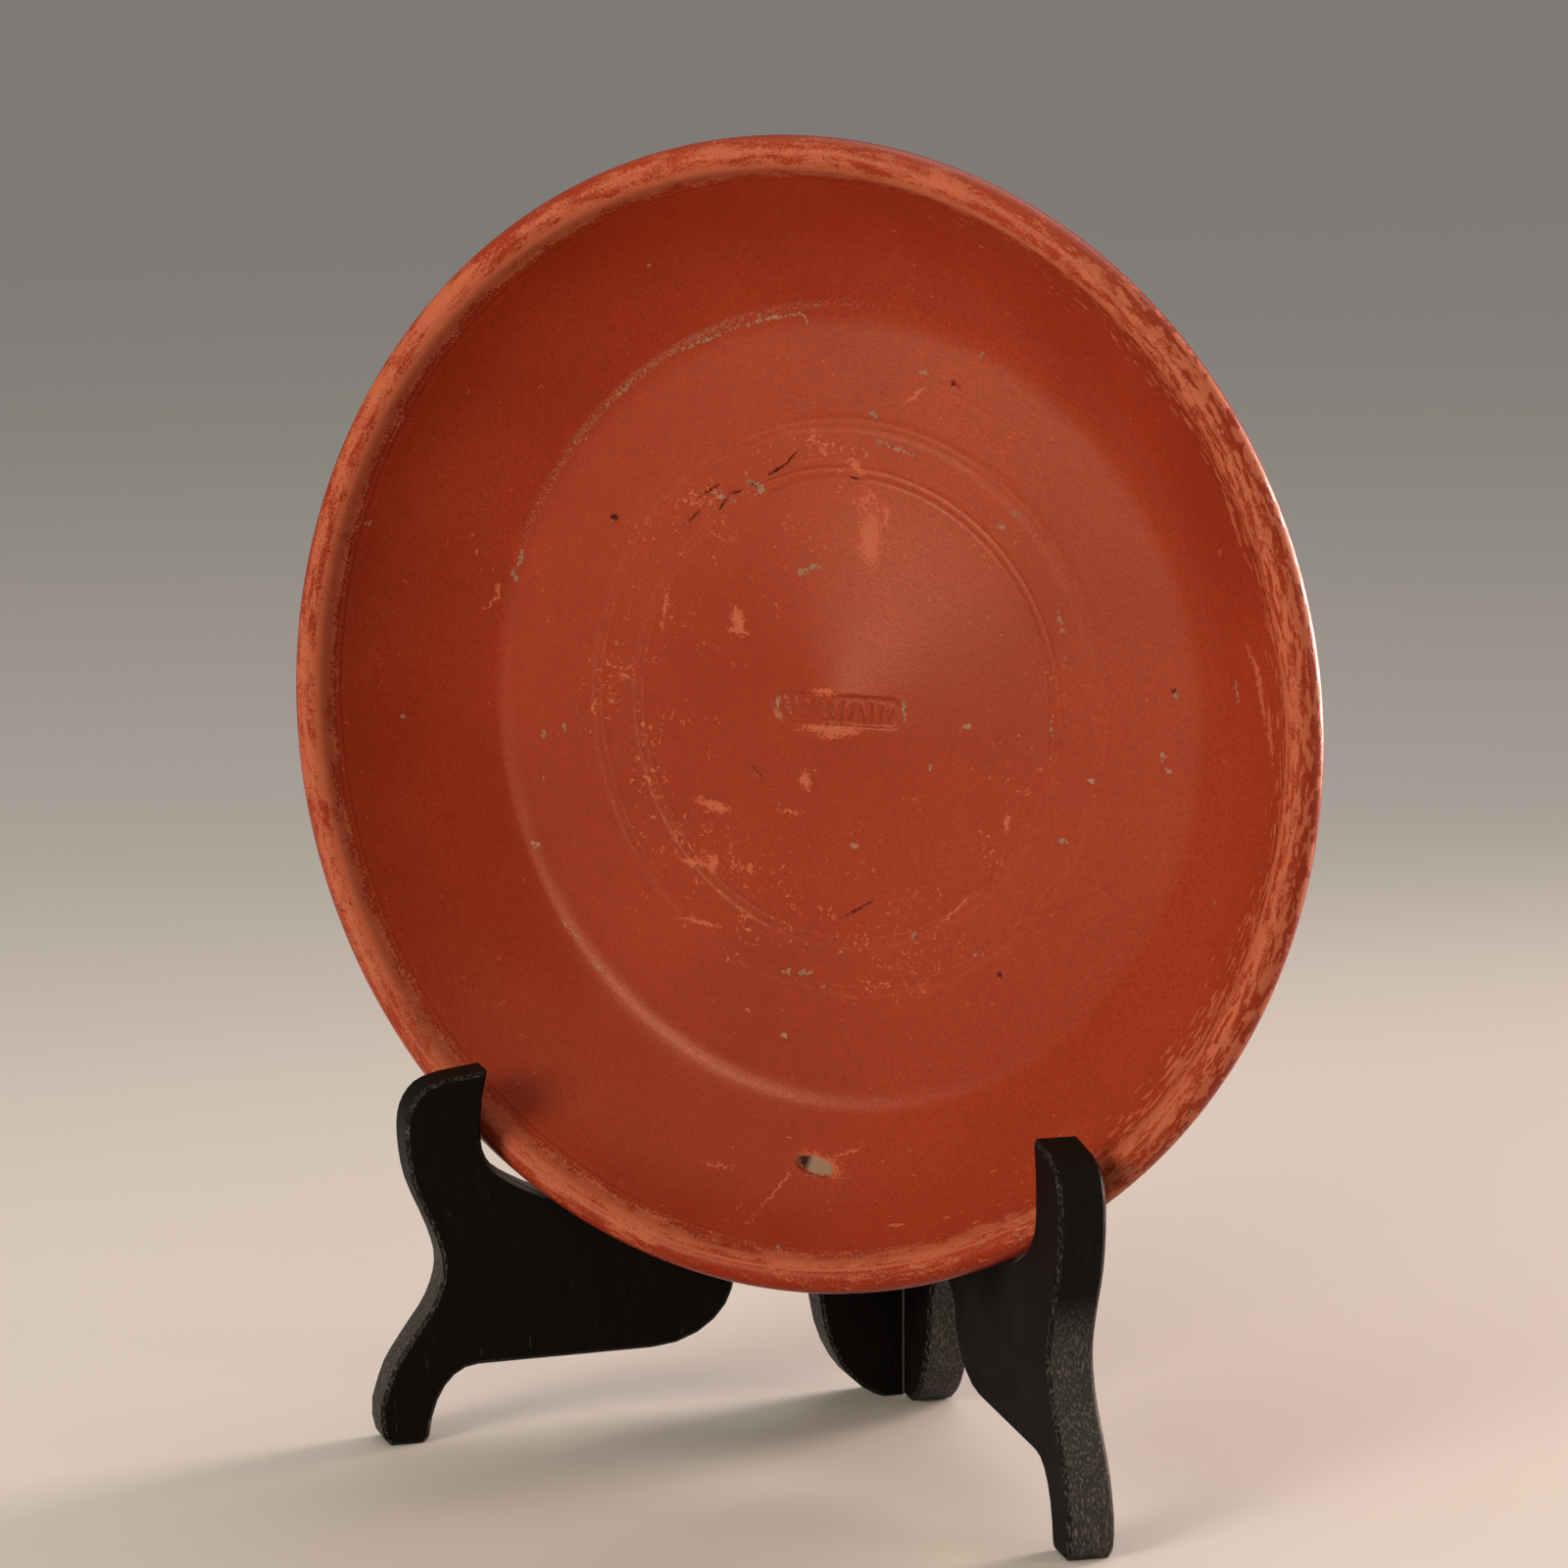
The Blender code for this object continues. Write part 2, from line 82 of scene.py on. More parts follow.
camera_data = bpy.data.cameras.new("camera")
camera_data.lens = LENS
camera_data.sensor_width = 36.0
camera_data.clip_start = 0.05
camera_data.clip_end = 1000.0
camera = bpy.data.objects.new("camera", camera_data)
bpy.context.scene.collection.objects.link(camera)
turn = Matrix((right, -down, -forward)).transposed().to_4x4()
camera.matrix_world = Matrix.Translation(CAMERA_PLACE) @ turn
bpy.context.scene.camera = camera
print("camera is", round((CAMERA_PLACE - FOOT_MIDDLE).length, 3), "m from the dish")

# %% [markdown]
# ## The dish's half profile
# A potter throws such a dish on the wheel and shapes it with a rib, so one half profile turned about the
# axis gives the whole form: a floor with a low cone in the middle, two scored rings, a soft corner, a
# curved wall, a rounded bead at the rim, and underneath a foot ring. Radii and heights are in
# millimetres, as in the part's source. A spin is chosen because it is how the real one was made.

# %% Sizes of the dish
RIM_RADIUS = 88.0
DISH_HEIGHT = 37.0
FLOOR_RADIUS = 62.2
FLOOR_HEIGHT = 14.0
FLOOR_THICKNESS = 6.0
BASE_RECESS = 8.0
CENTRE_RISE = 3.0
CENTRE_RISE_RADIUS = 36.0
WALL_THICKNESS = 4.6
WALL_BULGE = 2.6
BEAD_WIDTH = 5.4
BEAD_HEIGHT = 5.8
BEAD_OVERHANG = 0.9
FLOOR_FILLET = 1.6
FOOT_RADIUS = 45.5
FOOT_WIDTH = 4.6
FOOT_TAPER = 1.6
SCORED_RINGS = (36.6, 44.2)


# %% [markdown]
# The cone in the middle of the floor is what is left when the potter's rib stops short of the axis. It is
# steepest at its tip and runs out softly into the floor, so its height is a power of the share left.

# %% Floor
CONE_KEPT = 0.96
CONE_POWER = 1.38


def floor_height(radius):
    if radius >= CENTRE_RISE_RADIUS:
        return FLOOR_HEIGHT
    share = 1.0 - radius / CENTRE_RISE_RADIUS
    return FLOOR_HEIGHT + CONE_KEPT * CENTRE_RISE * share ** CONE_POWER


# %% [markdown]
# Each scored ring is a shallow band between two fine lines cut by a point held against the turning clay.
# Near the middle the steps are a quarter of a millimetre, because the stamp is pressed in there. The
# corner's points are steps outward and upward from where the floor ends.

# %% Inner half profile
BAND_HALF_WIDTH = 0.8
BAND_REACH = 2.0
LINE_DEPTH = 0.11
BAND_DEPTH = 0.02
STAMP_REACH, STAMP_STEP, FLOOR_STEP = 13.0, 0.25, 0.8
CORNER_START = FLOOR_RADIUS - 2.2 * FLOOR_FILLET
CORNER = ((0.9, 0.015), (1.8, 0.06), (2.7, 0.17), (3.5, 0.33), (4.2, 0.53), (4.8, 0.77))
INNER_WALL_TOP = (RIM_RADIUS - BEAD_WIDTH - 1.5, DISH_HEIGHT - BEAD_HEIGHT * 0.62 - 2.05)
INNER_BULGE_KEPT = 0.72
INNER_WALL_STEPS = 26


def ring_band(middle):
    steps = ((-1.3, 0.0), (-1.0, 0.0), (-BAND_HALF_WIDTH, LINE_DEPTH), (-0.55, BAND_DEPTH),
             (0.0, BAND_DEPTH), (0.55, BAND_DEPTH), (BAND_HALF_WIDTH, LINE_DEPTH), (1.0, 0.0), (1.3, 0.0))
    return [(middle + aside, floor_height(middle + aside) - depth) for aside, depth in steps]


def even_floor(first, last, step):
    count = max(round((last - first) / step), 1)
    radii = [first + (last - first) * k / count for k in range(count + 1)]
    return [(radius, floor_height(radius)) for radius in radii]


def wall_curve(start, end, steps, bulge):
    """A wall that swells away from the axis between two points of the profile."""
    along = Vector(end) - Vector(start)
    outward = Vector((along.y, -along.x)).normalized()
    shares = [k / steps for k in range(1, steps + 1)]
    return [tuple(Vector(start) + along * s + outward * bulge * 4 * s * (1 - s)) for s in shares]


def inner_profile():
    inner, outer = SCORED_RINGS
    profile = even_floor(0.0, STAMP_REACH, STAMP_STEP)
    profile += even_floor(STAMP_REACH + FLOOR_STEP, inner - BAND_REACH, FLOOR_STEP)
    profile += ring_band(inner)
    profile += even_floor(inner + BAND_REACH, outer - BAND_REACH, FLOOR_STEP)
    profile += ring_band(outer)
    profile += even_floor(outer + BAND_REACH, CORNER_START, 0.9)
    profile += [(CORNER_START + out, FLOOR_HEIGHT + up) for out, up in CORNER]
    bulge = WALL_BULGE * INNER_BULGE_KEPT
    return profile + wall_curve(profile[-1], INNER_WALL_TOP, INNER_WALL_STEPS, bulge)


# %% [markdown]
# The bead at the rim is a half-round roll. Two fine lines run along its inner foot, where the rib was
# lifted off. Under it the outer wall comes down to the foot ring, which was cut while the leather-hard
# dish stood upside down on the wheel. The stations below are radius and height.

# %% Rim and outer half profile
BEAD_FOOT = [(81.36, 31.74), (81.50, 32.00), (81.56, 32.22), (81.78, 32.50), (81.96, 32.80),
             (82.00, 33.00), (82.24, 33.36), (82.40, 33.80), (82.56, 34.36)]
ROLL_FROM, ROLL_TO, ROLL_STEPS = 160, -58, 30
UNDER_FLOOR = [(62.5, 10.35), (59.0, 9.86), (55.5, 9.56), (51.5, 9.30), (48.6, 9.10)]
FOOT_OUTSIDE = [(46.75, 7.9), (46.3, 5.6), (45.9, 3.2), (45.55, 1.2), (45.40, 0.45), (45.05, 0.08)]
FOOT_INSIDE = [(44.6, 0.0), (43.2, 0.0), (41.9, 0.0), (41.4, 0.08), (41.0, 0.45), (40.85, 1.2),
               (40.5, 3.4), (40.0, 5.6), (39.45, 7.1), (39.0, 7.75), (38.1, 8.0)]
RECESS_RADII = (34, 29, 24, 19, 14, 9, 5, 2.5, 1.0)
RECESS_RISE = CENTRE_RISE * 0.5


def arc(middle, half_width, half_height, first, last, steps):
    angles = [math.radians(first + (last - first) * k / steps) for k in range(steps + 1)]
    return [(middle[0] + half_width * math.cos(a), middle[1] + half_height * math.sin(a))
            for a in angles]


def rim_profile():
    middle = (RIM_RADIUS - BEAD_WIDTH / 2, DISH_HEIGHT - BEAD_HEIGHT / 2)
    return BEAD_FOOT + arc(middle, BEAD_WIDTH / 2, BEAD_HEIGHT / 2, ROLL_FROM, ROLL_TO, ROLL_STEPS)


def outer_profile():
    wall_top = (RIM_RADIUS - BEAD_OVERHANG - 1.2, DISH_HEIGHT - BEAD_HEIGHT - 0.4)
    wall_foot = (FLOOR_RADIUS + WALL_THICKNESS * 0.80, FLOOR_HEIGHT - FLOOR_THICKNESS * 0.50)
    foot_top = (FOOT_RADIUS + FOOT_TAPER, BASE_RECESS + 1.0)
    wall = wall_curve(wall_foot, wall_top, 16, WALL_BULGE)
    profile = [(wall_top[0] + 0.35, wall_top[1] + 0.30), *reversed(wall), wall_foot]
    profile += [*UNDER_FLOOR, foot_top, *FOOT_OUTSIDE, *FOOT_INSIDE]
    recess_radius = FOOT_INSIDE[-1][0]
    profile += [(r, BASE_RECESS + RECESS_RISE * (1 - r / recess_radius) ** 1.4) for r in RECESS_RADII]
    return profile + [(0.0, BASE_RECESS + RECESS_RISE)]


half_profile = inner_profile() + rim_profile() + outer_profile()
print("half profile has", len(half_profile), "stations, widest", max(r for r, _ in half_profile), "mm")

# %% [markdown]
# ## Small tools for modelling
# An operator acts on all that is selected, so each piece starts from nothing selected, and points are
# then picked by their place. These helpers are used by the cells after them.

# %% Modelling helpers
def start_clean():
    if bpy.context.object and bpy.context.object.mode != "OBJECT":
        bpy.ops.object.mode_set(mode="OBJECT")
    bpy.ops.object.select_all(action="DESELECT")


def take_in_hand(piece):
    start_clean()
    piece.select_set(True)
    bpy.context.view_layer.objects.active = piece


def pick_points(piece, wanted):
    """Selects in edit mode the points that pass a test of (places, normals), both in millimetre rows."""
    take_in_hand(piece)
    bpy.ops.object.mode_set(mode="EDIT")
    bpy.ops.mesh.select_mode(type="VERT")
    bpy.ops.mesh.select_all(action="DESELECT")
    bpy.ops.object.mode_set(mode="OBJECT")
    count = len(piece.data.vertices)
    places, normals = np.empty(count * 3), np.empty(count * 3)
    piece.data.vertices.foreach_get("co", places)
    piece.data.vertices.foreach_get("normal", normals)
    chosen = wanted(places.reshape(-1, 3) / MM, normals.reshape(-1, 3))
    piece.data.vertices.foreach_set("select", chosen)
    bpy.ops.object.mode_set(mode="EDIT")
    bpy.ops.mesh.select_mode(type="VERT")
    return int(chosen.sum())


# %% [markdown]
# ## Turning the dish
# A plane is merged to one point on the axis. The point is extruded from station to station, which draws
# the half profile, and the line is spun once round the axis, like the clay past the rib.

# %% Turn the dish
SPIN_STEPS = 288

start_clean()
bpy.ops.mesh.primitive_plane_add(size=2 * MM, location=(0, 0, 0))
dish = bpy.context.object
dish.name = dish.data.name = "red_gloss_dish"
bpy.ops.object.mode_set(mode="EDIT")
bpy.ops.mesh.select_mode(type="VERT")
bpy.ops.mesh.merge(type="CENTER")
bpy.ops.transform.translate(value=(0, 0, half_profile[0][1] * MM))
for before, after in zip(half_profile[:-1], half_profile[1:]):
    step = ((after[0] - before[0]) * MM, 0.0, (after[1] - before[1]) * MM)
    bpy.ops.mesh.extrude_region_move(TRANSFORM_OT_translate={"value": step})
bpy.ops.mesh.select_all(action="SELECT")
bpy.ops.mesh.spin(steps=SPIN_STEPS, angle=math.tau, center=(0, 0, 0), axis=(0, 0, 1))
bpy.ops.mesh.select_all(action="SELECT")
bpy.ops.mesh.remove_doubles(threshold=0.01 * MM)
bpy.ops.mesh.normals_make_consistent(inside=False)
bpy.ops.object.mode_set(mode="OBJECT")
bpy.ops.object.shade_smooth()
print("turned dish:", len(dish.data.vertices), "points,", len(dish.data.polygons), "faces")

# %% [markdown]
# The scored rings are crisp only from the top round to the right. Elsewhere they are nearly rubbed away,
# so their points are smoothed there, some sectors more often than others. Each row holds a ring, the
# degrees where its sector starts and ends, and how often it is smoothed.

# %% Rub the rings down
INNER_RING, OUTER_RING = SCORED_RINGS
RUBBED_SECTORS = [
    (INNER_RING, 112, 175, 5), (INNER_RING, 175, 250, 1), (INNER_RING, 250, 352, 6),
    (OUTER_RING, 0, 60, 8), (OUTER_RING, 60, 112, 3), (OUTER_RING, 112, 165, 7),
    (OUTER_RING, 165, 215, 2), (OUTER_RING, 215, 360, 7),
]


def facing_out(normals):
    """Points on the dish's open side, not those on its underside."""
    return normals[:, 2] > 0.05


def rub_ring(ring, first_degree, last_degree, repeats):
    def in_sector(places, normals):
        near = np.abs(np.hypot(places[:, 0], places[:, 1]) - ring) < 1.6
        degrees = np.degrees(np.arctan2(places[:, 1], places[:, 0])) % 360
        return near & (degrees > first_degree) & (degrees < last_degree) & facing_out(normals)

    count = pick_points(dish, in_sector)
    bpy.ops.mesh.vertices_smooth(factor=0.5, repeat=repeats)
    bpy.ops.object.mode_set(mode="OBJECT")
    return count


print("ring points rubbed down:", [rub_ring(*sector) for sector in RUBBED_SECTORS])

# %% [markdown]
# ## The stamp
# A die with round ends was pressed into the middle of the floor while the clay was soft. Its maker's
# letters are left out: a row of plain slanting strokes of different heights stands in their place. The
# points inside the die's outline are squeezed flatter and pressed in, then each stroke is raised a little.

# %% Press the stamp
PANEL_LENGTH = 22.8
PANEL_WIDTH = 4.6
PANEL_DEPTH = 0.3
DOME_KEPT = 0.72
STROKE_COUNT = 12
STROKE_WIDTH = 0.55
STROKE_HEIGHT = 0.24
STROKE_MARGIN = 0.7
STROKE_SLANT = 0.22
panel_bottom = floor_height(PANEL_LENGTH / 2) - PANEL_DEPTH


def in_panel(places, normals):
    half = PANEL_WIDTH / 2
    beyond = np.maximum(np.abs(places[:, 0]) - (PANEL_LENGTH / 2 - half), 0.0)
    return (np.hypot(beyond, places[:, 1]) < half) & facing_out(normals)


picked = pick_points(dish, in_panel)
bpy.ops.transform.resize(value=(1, 1, DOME_KEPT), center_override=(0, 0, panel_bottom * MM))
bpy.ops.transform.translate(value=(0, 0, -PANEL_DEPTH / 3 * MM))
span = PANEL_LENGTH - PANEL_WIDTH
for index in range(STROKE_COUNT):
    middle = -span / 2 + span * index / (STROKE_COUNT - 1)
    top = (PANEL_WIDTH / 2 - STROKE_MARGIN) * (1.0 - 0.35 * (index % 3) / 2)
    bottom = -(PANEL_WIDTH / 2 - STROKE_MARGIN) * (1.0 - 0.25 * (index % 2))
    slant = STROKE_SLANT * (index % 4 - 1.5)

    def in_stroke(places, normals):
        x, y = places[:, 0] - slant * places[:, 1], places[:, 1]
        return (np.abs(x - middle) < STROKE_WIDTH / 2) & (y > bottom) & (y < top) & facing_out(normals)

    pick_points(dish, in_stroke)
    bpy.ops.transform.translate(value=(0, 0, STROKE_HEIGHT * MM))
pick_points(dish, lambda places, normals: (np.abs(places[:, 0]) < 12) & (np.abs(places[:, 1]) < 3)
            & facing_out(normals))
bpy.ops.mesh.vertices_smooth(factor=0.5, repeat=2)
bpy.ops.object.mode_set(mode="OBJECT")
print("points in the stamp:", picked)

# %% [markdown]
# ## Marks of use and burial
# Where each mark lies was worked out from the photograph: x and y of its middle, half its length, half its
# width, all in millimetres in the dish's own frame, and its turn in degrees. The same rows are used
# twice: pits, cracks and the chip are pressed into the mesh, and all of them colour the surface.

# %% Places of the marks
PITS = [
    (-41.5, 27.6, 0.6, 0.50, 0), (18.0, 51.0, 0.4, 0.36, 0), (27.9, -39.4, 0.5, 0.26, -68),
    (55.9, 6.3, 0.3, 0.26, 0), (-27.0, 28.5, 1.7, 0.13, 43), (-24.1, 32.8, 2.1, 0.12, 31),
    (-21.7, 30.8, 1.4, 0.12, 52), (-19.4, 32.7, 1.1, 0.15, 14), (-15.9, 33.9, 1.3, 0.18, -15),
    (-12.0, 36.6, 2.1, 0.15, 30), (-9.7, 38.5, 1.3, 0.10, 49), (3.4, -31.2, 3.1, 0.12, 29),
    (-14.5, -11.0, 1.2, 0.11, -42), (1.3, 35.8, 0.8, 0.16, -12),
]
CHIP = (-0.7, -71.4, 3.4, 1.15, -10)
BARE_CLAY = [
    (-0.7, -3.1, 4.7, 0.60, 2), (-0.4, -3.7, 2.8, 0.60, 4), (-1.8, 2.5, 2.4, 0.45, 4),
    (4.6, 26.5, 3.5, 1.61, -89), (7.2, 30.1, 1.6, 0.48, -87), (-18.4, 12.5, 1.9, 0.97, -76),
    (-5.6, -11.7, 1.5, 0.81, -85), (-22.9, -16.9, 2.8, 0.73, -11), (-23.0, -26.3, 1.4, 0.97, -90),
    (28.6, -15.8, 1.2, 0.40, -83), (-62.6, 14.7, 1.3, 0.24, -93), (-63.5, 13.0, 1.3, 0.24, -136),
    (0.4, -71.0, 3.6, 0.95, -13), (4.3, -68.9, 2.7, 0.24, 24), (-5.5, -75.3, 2.8, 0.24, 63),
    (-16.6, -72.6, 2.0, 0.24, -3), (69.7, 33.8, 4.2, 0.48, -75), (75.6, 2.4, 3.8, 0.48, -79),
    (71.8, 11.6, 3.4, 0.40, -57), (73.2, 7.2, 3.7, 0.40, -73), (1.7, 37.6, 1.8, 0.48, -40),
    (20.3, -29.7, 3.5, 0.24, 44), (-8.5, -16.8, 1.8, 0.24, 2), (11.5, 48.8, 1.8, 0.32, -141),
    (-25.0, -35.9, 3.0, 0.32, -5), (65.0, 28.2, 0.6, 0.32, -98), (-18.4, 11.2, 1.7, 0.32, -12),
    (-26.4, -26.4, 1.9, 0.48, -8), (-32.0, 13.8, 3.4, 0.24, 81),
]
SPECKLED = [
    (-2.5, 40.3, 9.0, 3.0, -6), (4.6, 28.0, 6.5, 4.0, -89), (-22.0, 34.0, 9.0, 3.0, 24),
]
DEPOSITS = [
    (-24.0, 56.6, 6.4, 0.22, 21), (-13.0, 59.9, 5.5, 0.26, 12), (-7.6, 60.2, 0.9, 0.48, -80),
    (-39.6, 48.0, 1.7, 0.20, 38), (-59.8, 17.5, 1.0, 0.48, 87), (-58.8, 20.2, 1.3, 0.40, 82),
    (-48.9, -39.0, 2.1, 0.24, -47), (-43.6, -44.6, 0.9, 0.24, -39), (-55.6, -26.1, 0.7, 0.48, -68),
    (-54.5, -7.8, 0.8, 0.48, -73), (-50.5, -6.7, 0.8, 0.32, -90), (-76.8, 26.1, 0.5, 0.40, 0),
    (-75.4, 32.9, 0.4, 0.40, 0), (-75.1, -5.6, 0.4, 0.32, 0), (-30.7, 68.0, 0.5, 0.40, 0),
    (26.4, 29.6, 0.8, 0.48, -22), (29.4, 31.5, 0.8, 0.48, -40), (35.9, -0.2, 1.8, 0.40, -85),
    (22.0, -1.0, 0.8, 0.32, 21), (15.9, -8.1, 0.7, 0.32, 63), (2.9, -21.4, 0.9, 0.24, -8),
    (38.2, -17.6, 0.6, 0.48, 5), (-9.4, -42.4, 1.0, 0.40, 6), (-6.1, -42.2, 1.4, 0.48, 11),
    (23.9, -36.3, 0.5, 0.32, 29), (12.9, -34.5, 0.6, 0.24, -89), (-9.9, -52.6, 0.4, 0.32, 0),
    (12.8, 52.3, 0.8, 0.40, -22), (4.5, 45.7, 0.7, 0.48, -40), (23.1, 55.4, 0.6, 0.32, 32),
    (42.4, -7.9, 0.5, 0.40, 0), (54.1, -3.7, 0.8, 0.32, -78), (55.1, -5.6, 0.6, 0.40, -40),
    (56.3, 6.0, 0.5, 0.32, -59), (65.2, -24.0, 0.5, 0.24, -80), (70.0, -51.8, 0.5, 0.40, 0),
    (-10.5, 0.0, 1.7, 0.40, -85), (11.5, 0.5, 1.6, 0.40, -81), (-5.8, 21.3, 2.4, 0.56, 20),
    (67.4, 7.5, 2.1, 0.32, -83), (36.9, 15.8, 2.0, 0.24, -78), (0.1, -81.8, 0.5, 0.32, -9),
    (36.3, -75.6, 0.6, 0.40, -9), (43.2, -74.1, 0.6, 0.40, -21), (-21.7, 31.8, 2.5, 0.34, -18),
    (-15.8, 33.9, 1.5, 0.50, -39), (8.7, 40.6, 3.7, 0.24, -18),
]
print(len(PITS), "pits and cracks,", len(BARE_CLAY), "worn spots,", len(SPECKLED), "speckled zones,",
      len(DEPOSITS), "deposits")

# %% [markdown]
# Pits burst where a grain of lime swelled in the kiln, and the chip broke out of the wall later. The
# faces round each mark are cut finer, then the points inside its outline are pushed in.

# %% Press pits, cracks and the chip into the mesh
def within(mark, places, grow=0.0):
    """How far points lie from the middle of a mark, in shares of its half sizes."""
    x, y, half_length, half_width, turn_degrees = mark
    a = math.radians(turn_degrees)
    dx, dy = places[:, 0] - x, places[:, 1] - y
    along = (dx * math.cos(a) + dy * math.sin(a)) / (half_length + grow)
    across = (dy * math.cos(a) - dx * math.sin(a)) / (half_width + grow)
    return np.hypot(along, across)


def push_in(mark, depth, cuts, margin):
    pick_points(dish, lambda places, normals: (within(mark, places, margin) < 1) & facing_out(normals))
    bpy.ops.mesh.subdivide(number_cuts=cuts)
    bpy.ops.object.mode_set(mode="OBJECT")
    count = pick_points(dish, lambda places, normals: (within(mark, places) < 1) & facing_out(normals))
    bpy.ops.object.mode_set(mode="OBJECT")
    chosen = [v.normal for v in dish.data.vertices if v.select]
    inward = -sum(chosen, Vector()).normalized() * depth * MM if chosen else Vector()
    bpy.ops.object.mode_set(mode="EDIT")
    if count:
        bpy.ops.transform.translate(value=inward)
    bpy.ops.object.mode_set(mode="OBJECT")
    return count


CRACK_ZONE = (-18.0, 33.5, 12.0, 4.2, 33)
PIT_DEPTH, CHIP_DEPTH = 0.28, 0.55
PIT_MARGIN, CHIP_MARGIN = 1.3, 1.6
pick_points(dish, lambda places, normals: (within(CRACK_ZONE, places) < 1) & facing_out(normals))
bpy.ops.mesh.subdivide(number_cuts=2)
bpy.ops.object.mode_set(mode="OBJECT")
moved = []
for mark in PITS:
    cut_already = within(CRACK_ZONE, np.array([mark[:2]]))[0] < 1
    moved.append(push_in(mark, PIT_DEPTH, 1 if cut_already else 4, PIT_MARGIN))
moved.append(push_in(CHIP, CHIP_DEPTH, 3, CHIP_MARGIN))
print("points pushed in, mark by mark:", moved)

# %% [markdown]
# ## Tools for materials
# Colours are written as sRGB hex values, as a colour picker shows them, and turned to linear light. One
# function adds a node: settings are its options or its sockets' values, links say what feeds a socket.

# %% Material helpers
def linear(hex_colour):
    parts = [int(hex_colour[k:k + 2], 16) / 255 for k in (1, 3, 5)]
    return (*[c / 12.92 if c <= 0.04045 else ((c + 0.055) / 1.055) ** 2.4 for c in parts], 1.0)


def add_node(tree, kind, settings=None, links=None):
    node = tree.nodes.new("ShaderNode" + kind)
    for name, value in (settings or {}).items():
        if isinstance(name, str) and hasattr(node, name):
            setattr(node, name, value)
        else:
            node.inputs[name].default_value = value
    for socket, source in (links or {}).items():
        tree.links.new(source if isinstance(source, bpy.types.NodeSocket) else source.outputs[0],
                       node.inputs[socket])
    return node


def new_material(name):
    material = bpy.data.materials.new(name)
    material.use_nodes = True
    return material, material.node_tree, material.node_tree.nodes["Principled BSDF"]


# %% [markdown]
# ## Crumbs of lime
# Lime from the ground has dried on the dish as thin crusts. Each is a cluster of real crumbs: small balls
# flattened to flakes, roughened, laid on the surface along its normal, and joined to the dish with their
# own material. A ball is chosen because it stays closed, and half of it sinks into the dish.

# %% Lay the crumbs on the dish
CRUST_THICKNESS = 0.09
CRUMBS_PER_AREA = 9.0
CRUMB_SIZES = (0.16, 0.36)
lime, lime_tree, lime_shader = new_material("dried lime crust")
slip, tree, shader = new_material("red gloss slip on fired clay")
dish.data.materials.append(slip)


def lay_crumb(index, mark):
    x, y, half_length, half_width, turn_degrees = mark
    start = Vector((x, y, DISH_HEIGHT + 5.0)) * MM
    hit, spot, normal, _ = dish.ray_cast(start, Vector((0.0, 0.0, -1.0)))
    if not hit:
        return None
    start_clean()
    bpy.ops.mesh.primitive_ico_sphere_add(subdivisions=2, radius=1.0, location=(0, 0, 0))
    crumb = bpy.context.object
    bpy.ops.object.mode_set(mode="EDIT")
    bpy.ops.mesh.select_all(action="SELECT")
    bpy.ops.transform.vertex_random(offset=0.5, uniform=0.8, normal=0.3, seed=index)
    bpy.ops.object.mode_set(mode="OBJECT")
    size = Vector((half_length, half_width, CRUST_THICKNESS)) * MM
    tilt = Vector((0.0, 0.0, 1.0)).rotation_difference(normal).to_matrix().to_4x4()
    spin = Matrix.Rotation(math.radians(turn_degrees), 4, "Z")
    crumb.matrix_world = Matrix.Translation(spot) @ tilt @ spin @ Matrix.Diagonal(size).to_4x4()
    crumb.data.materials.append(lime)
    return crumb


def broken_up(mark, dice):
    """A crust as a cluster of small crumbs of uneven size, scattered over its ellipse."""
    x, y, half_length, half_width, turn_degrees = mark
    count = max(round(half_length * half_width * CRUMBS_PER_AREA), 2)
    a = math.radians(turn_degrees)
    rows = []
    for k in range(count):
        along = (2 * (k + 0.5) / count - 1) * half_length * 0.9 + dice.uniform(-0.2, 0.2)
        aside = dice.uniform(-0.8, 0.8) * half_width
        size = dice.uniform(*CRUMB_SIZES)
        rows.append((x + along * math.cos(a) - aside * math.sin(a),
                     y + along * math.sin(a) + aside * math.cos(a),
                     size * dice.uniform(1.0, 1.6), size, turn_degrees + dice.uniform(-50, 50)))
    return rows


dice = np.random.default_rng(11)
crumb_rows = [row for mark in DEPOSITS for row in broken_up(mark, dice)]
crumbs_laid = [crumb for crumb in (lay_crumb(k, row) for k, row in enumerate(crumb_rows)) if crumb]
start_clean()
for crumb in crumbs_laid:
    crumb.select_set(True)
dish.select_set(True)
bpy.context.view_layer.objects.active = dish
bpy.ops.object.join()
print("crumbs of lime laid:", len(crumbs_laid))

# %% [markdown]
# The finished dish is leaned back and moved to its place, and that place is then written into its mesh.

# %% Put the dish in its place
take_in_hand(dish)
dish.rotation_euler = DISH_TURN
dish.location = FOOT_MIDDLE
bpy.ops.object.transform_apply(location=True, rotation=True, scale=True)
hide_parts("dish")
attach(dish, "root")
dish.data.update()
print("dish has", sum(len(p.vertices) - 2 for p in dish.data.polygons), "triangles")


# %% [markdown]
# ## Red gloss slip over fired clay
# Terra sigillata is a fine red clay, dipped in a slip so fine that it fires to a gloss by itself. It is a
# dielectric like any clay, so metallic is 0 and the IOR about 1.5. Where the slip is rubbed off, the
# duller orange body shows. All patterns read the dish's own frame in millimetres.

# %% Slip: coordinates
SLIP_RED = "#8A2A13"
SLIP_LIGHT = "#9E381F"
SLIP_DARK = "#64190C"
CLAY_ORANGE = "#BC5F3D"
CLAY_AND_HAZE_PINK = "#B0664C"
LIME_TAN = "#8E745E"
PIT_AND_CHIP_SHADOW_DARK = "#2A1510"

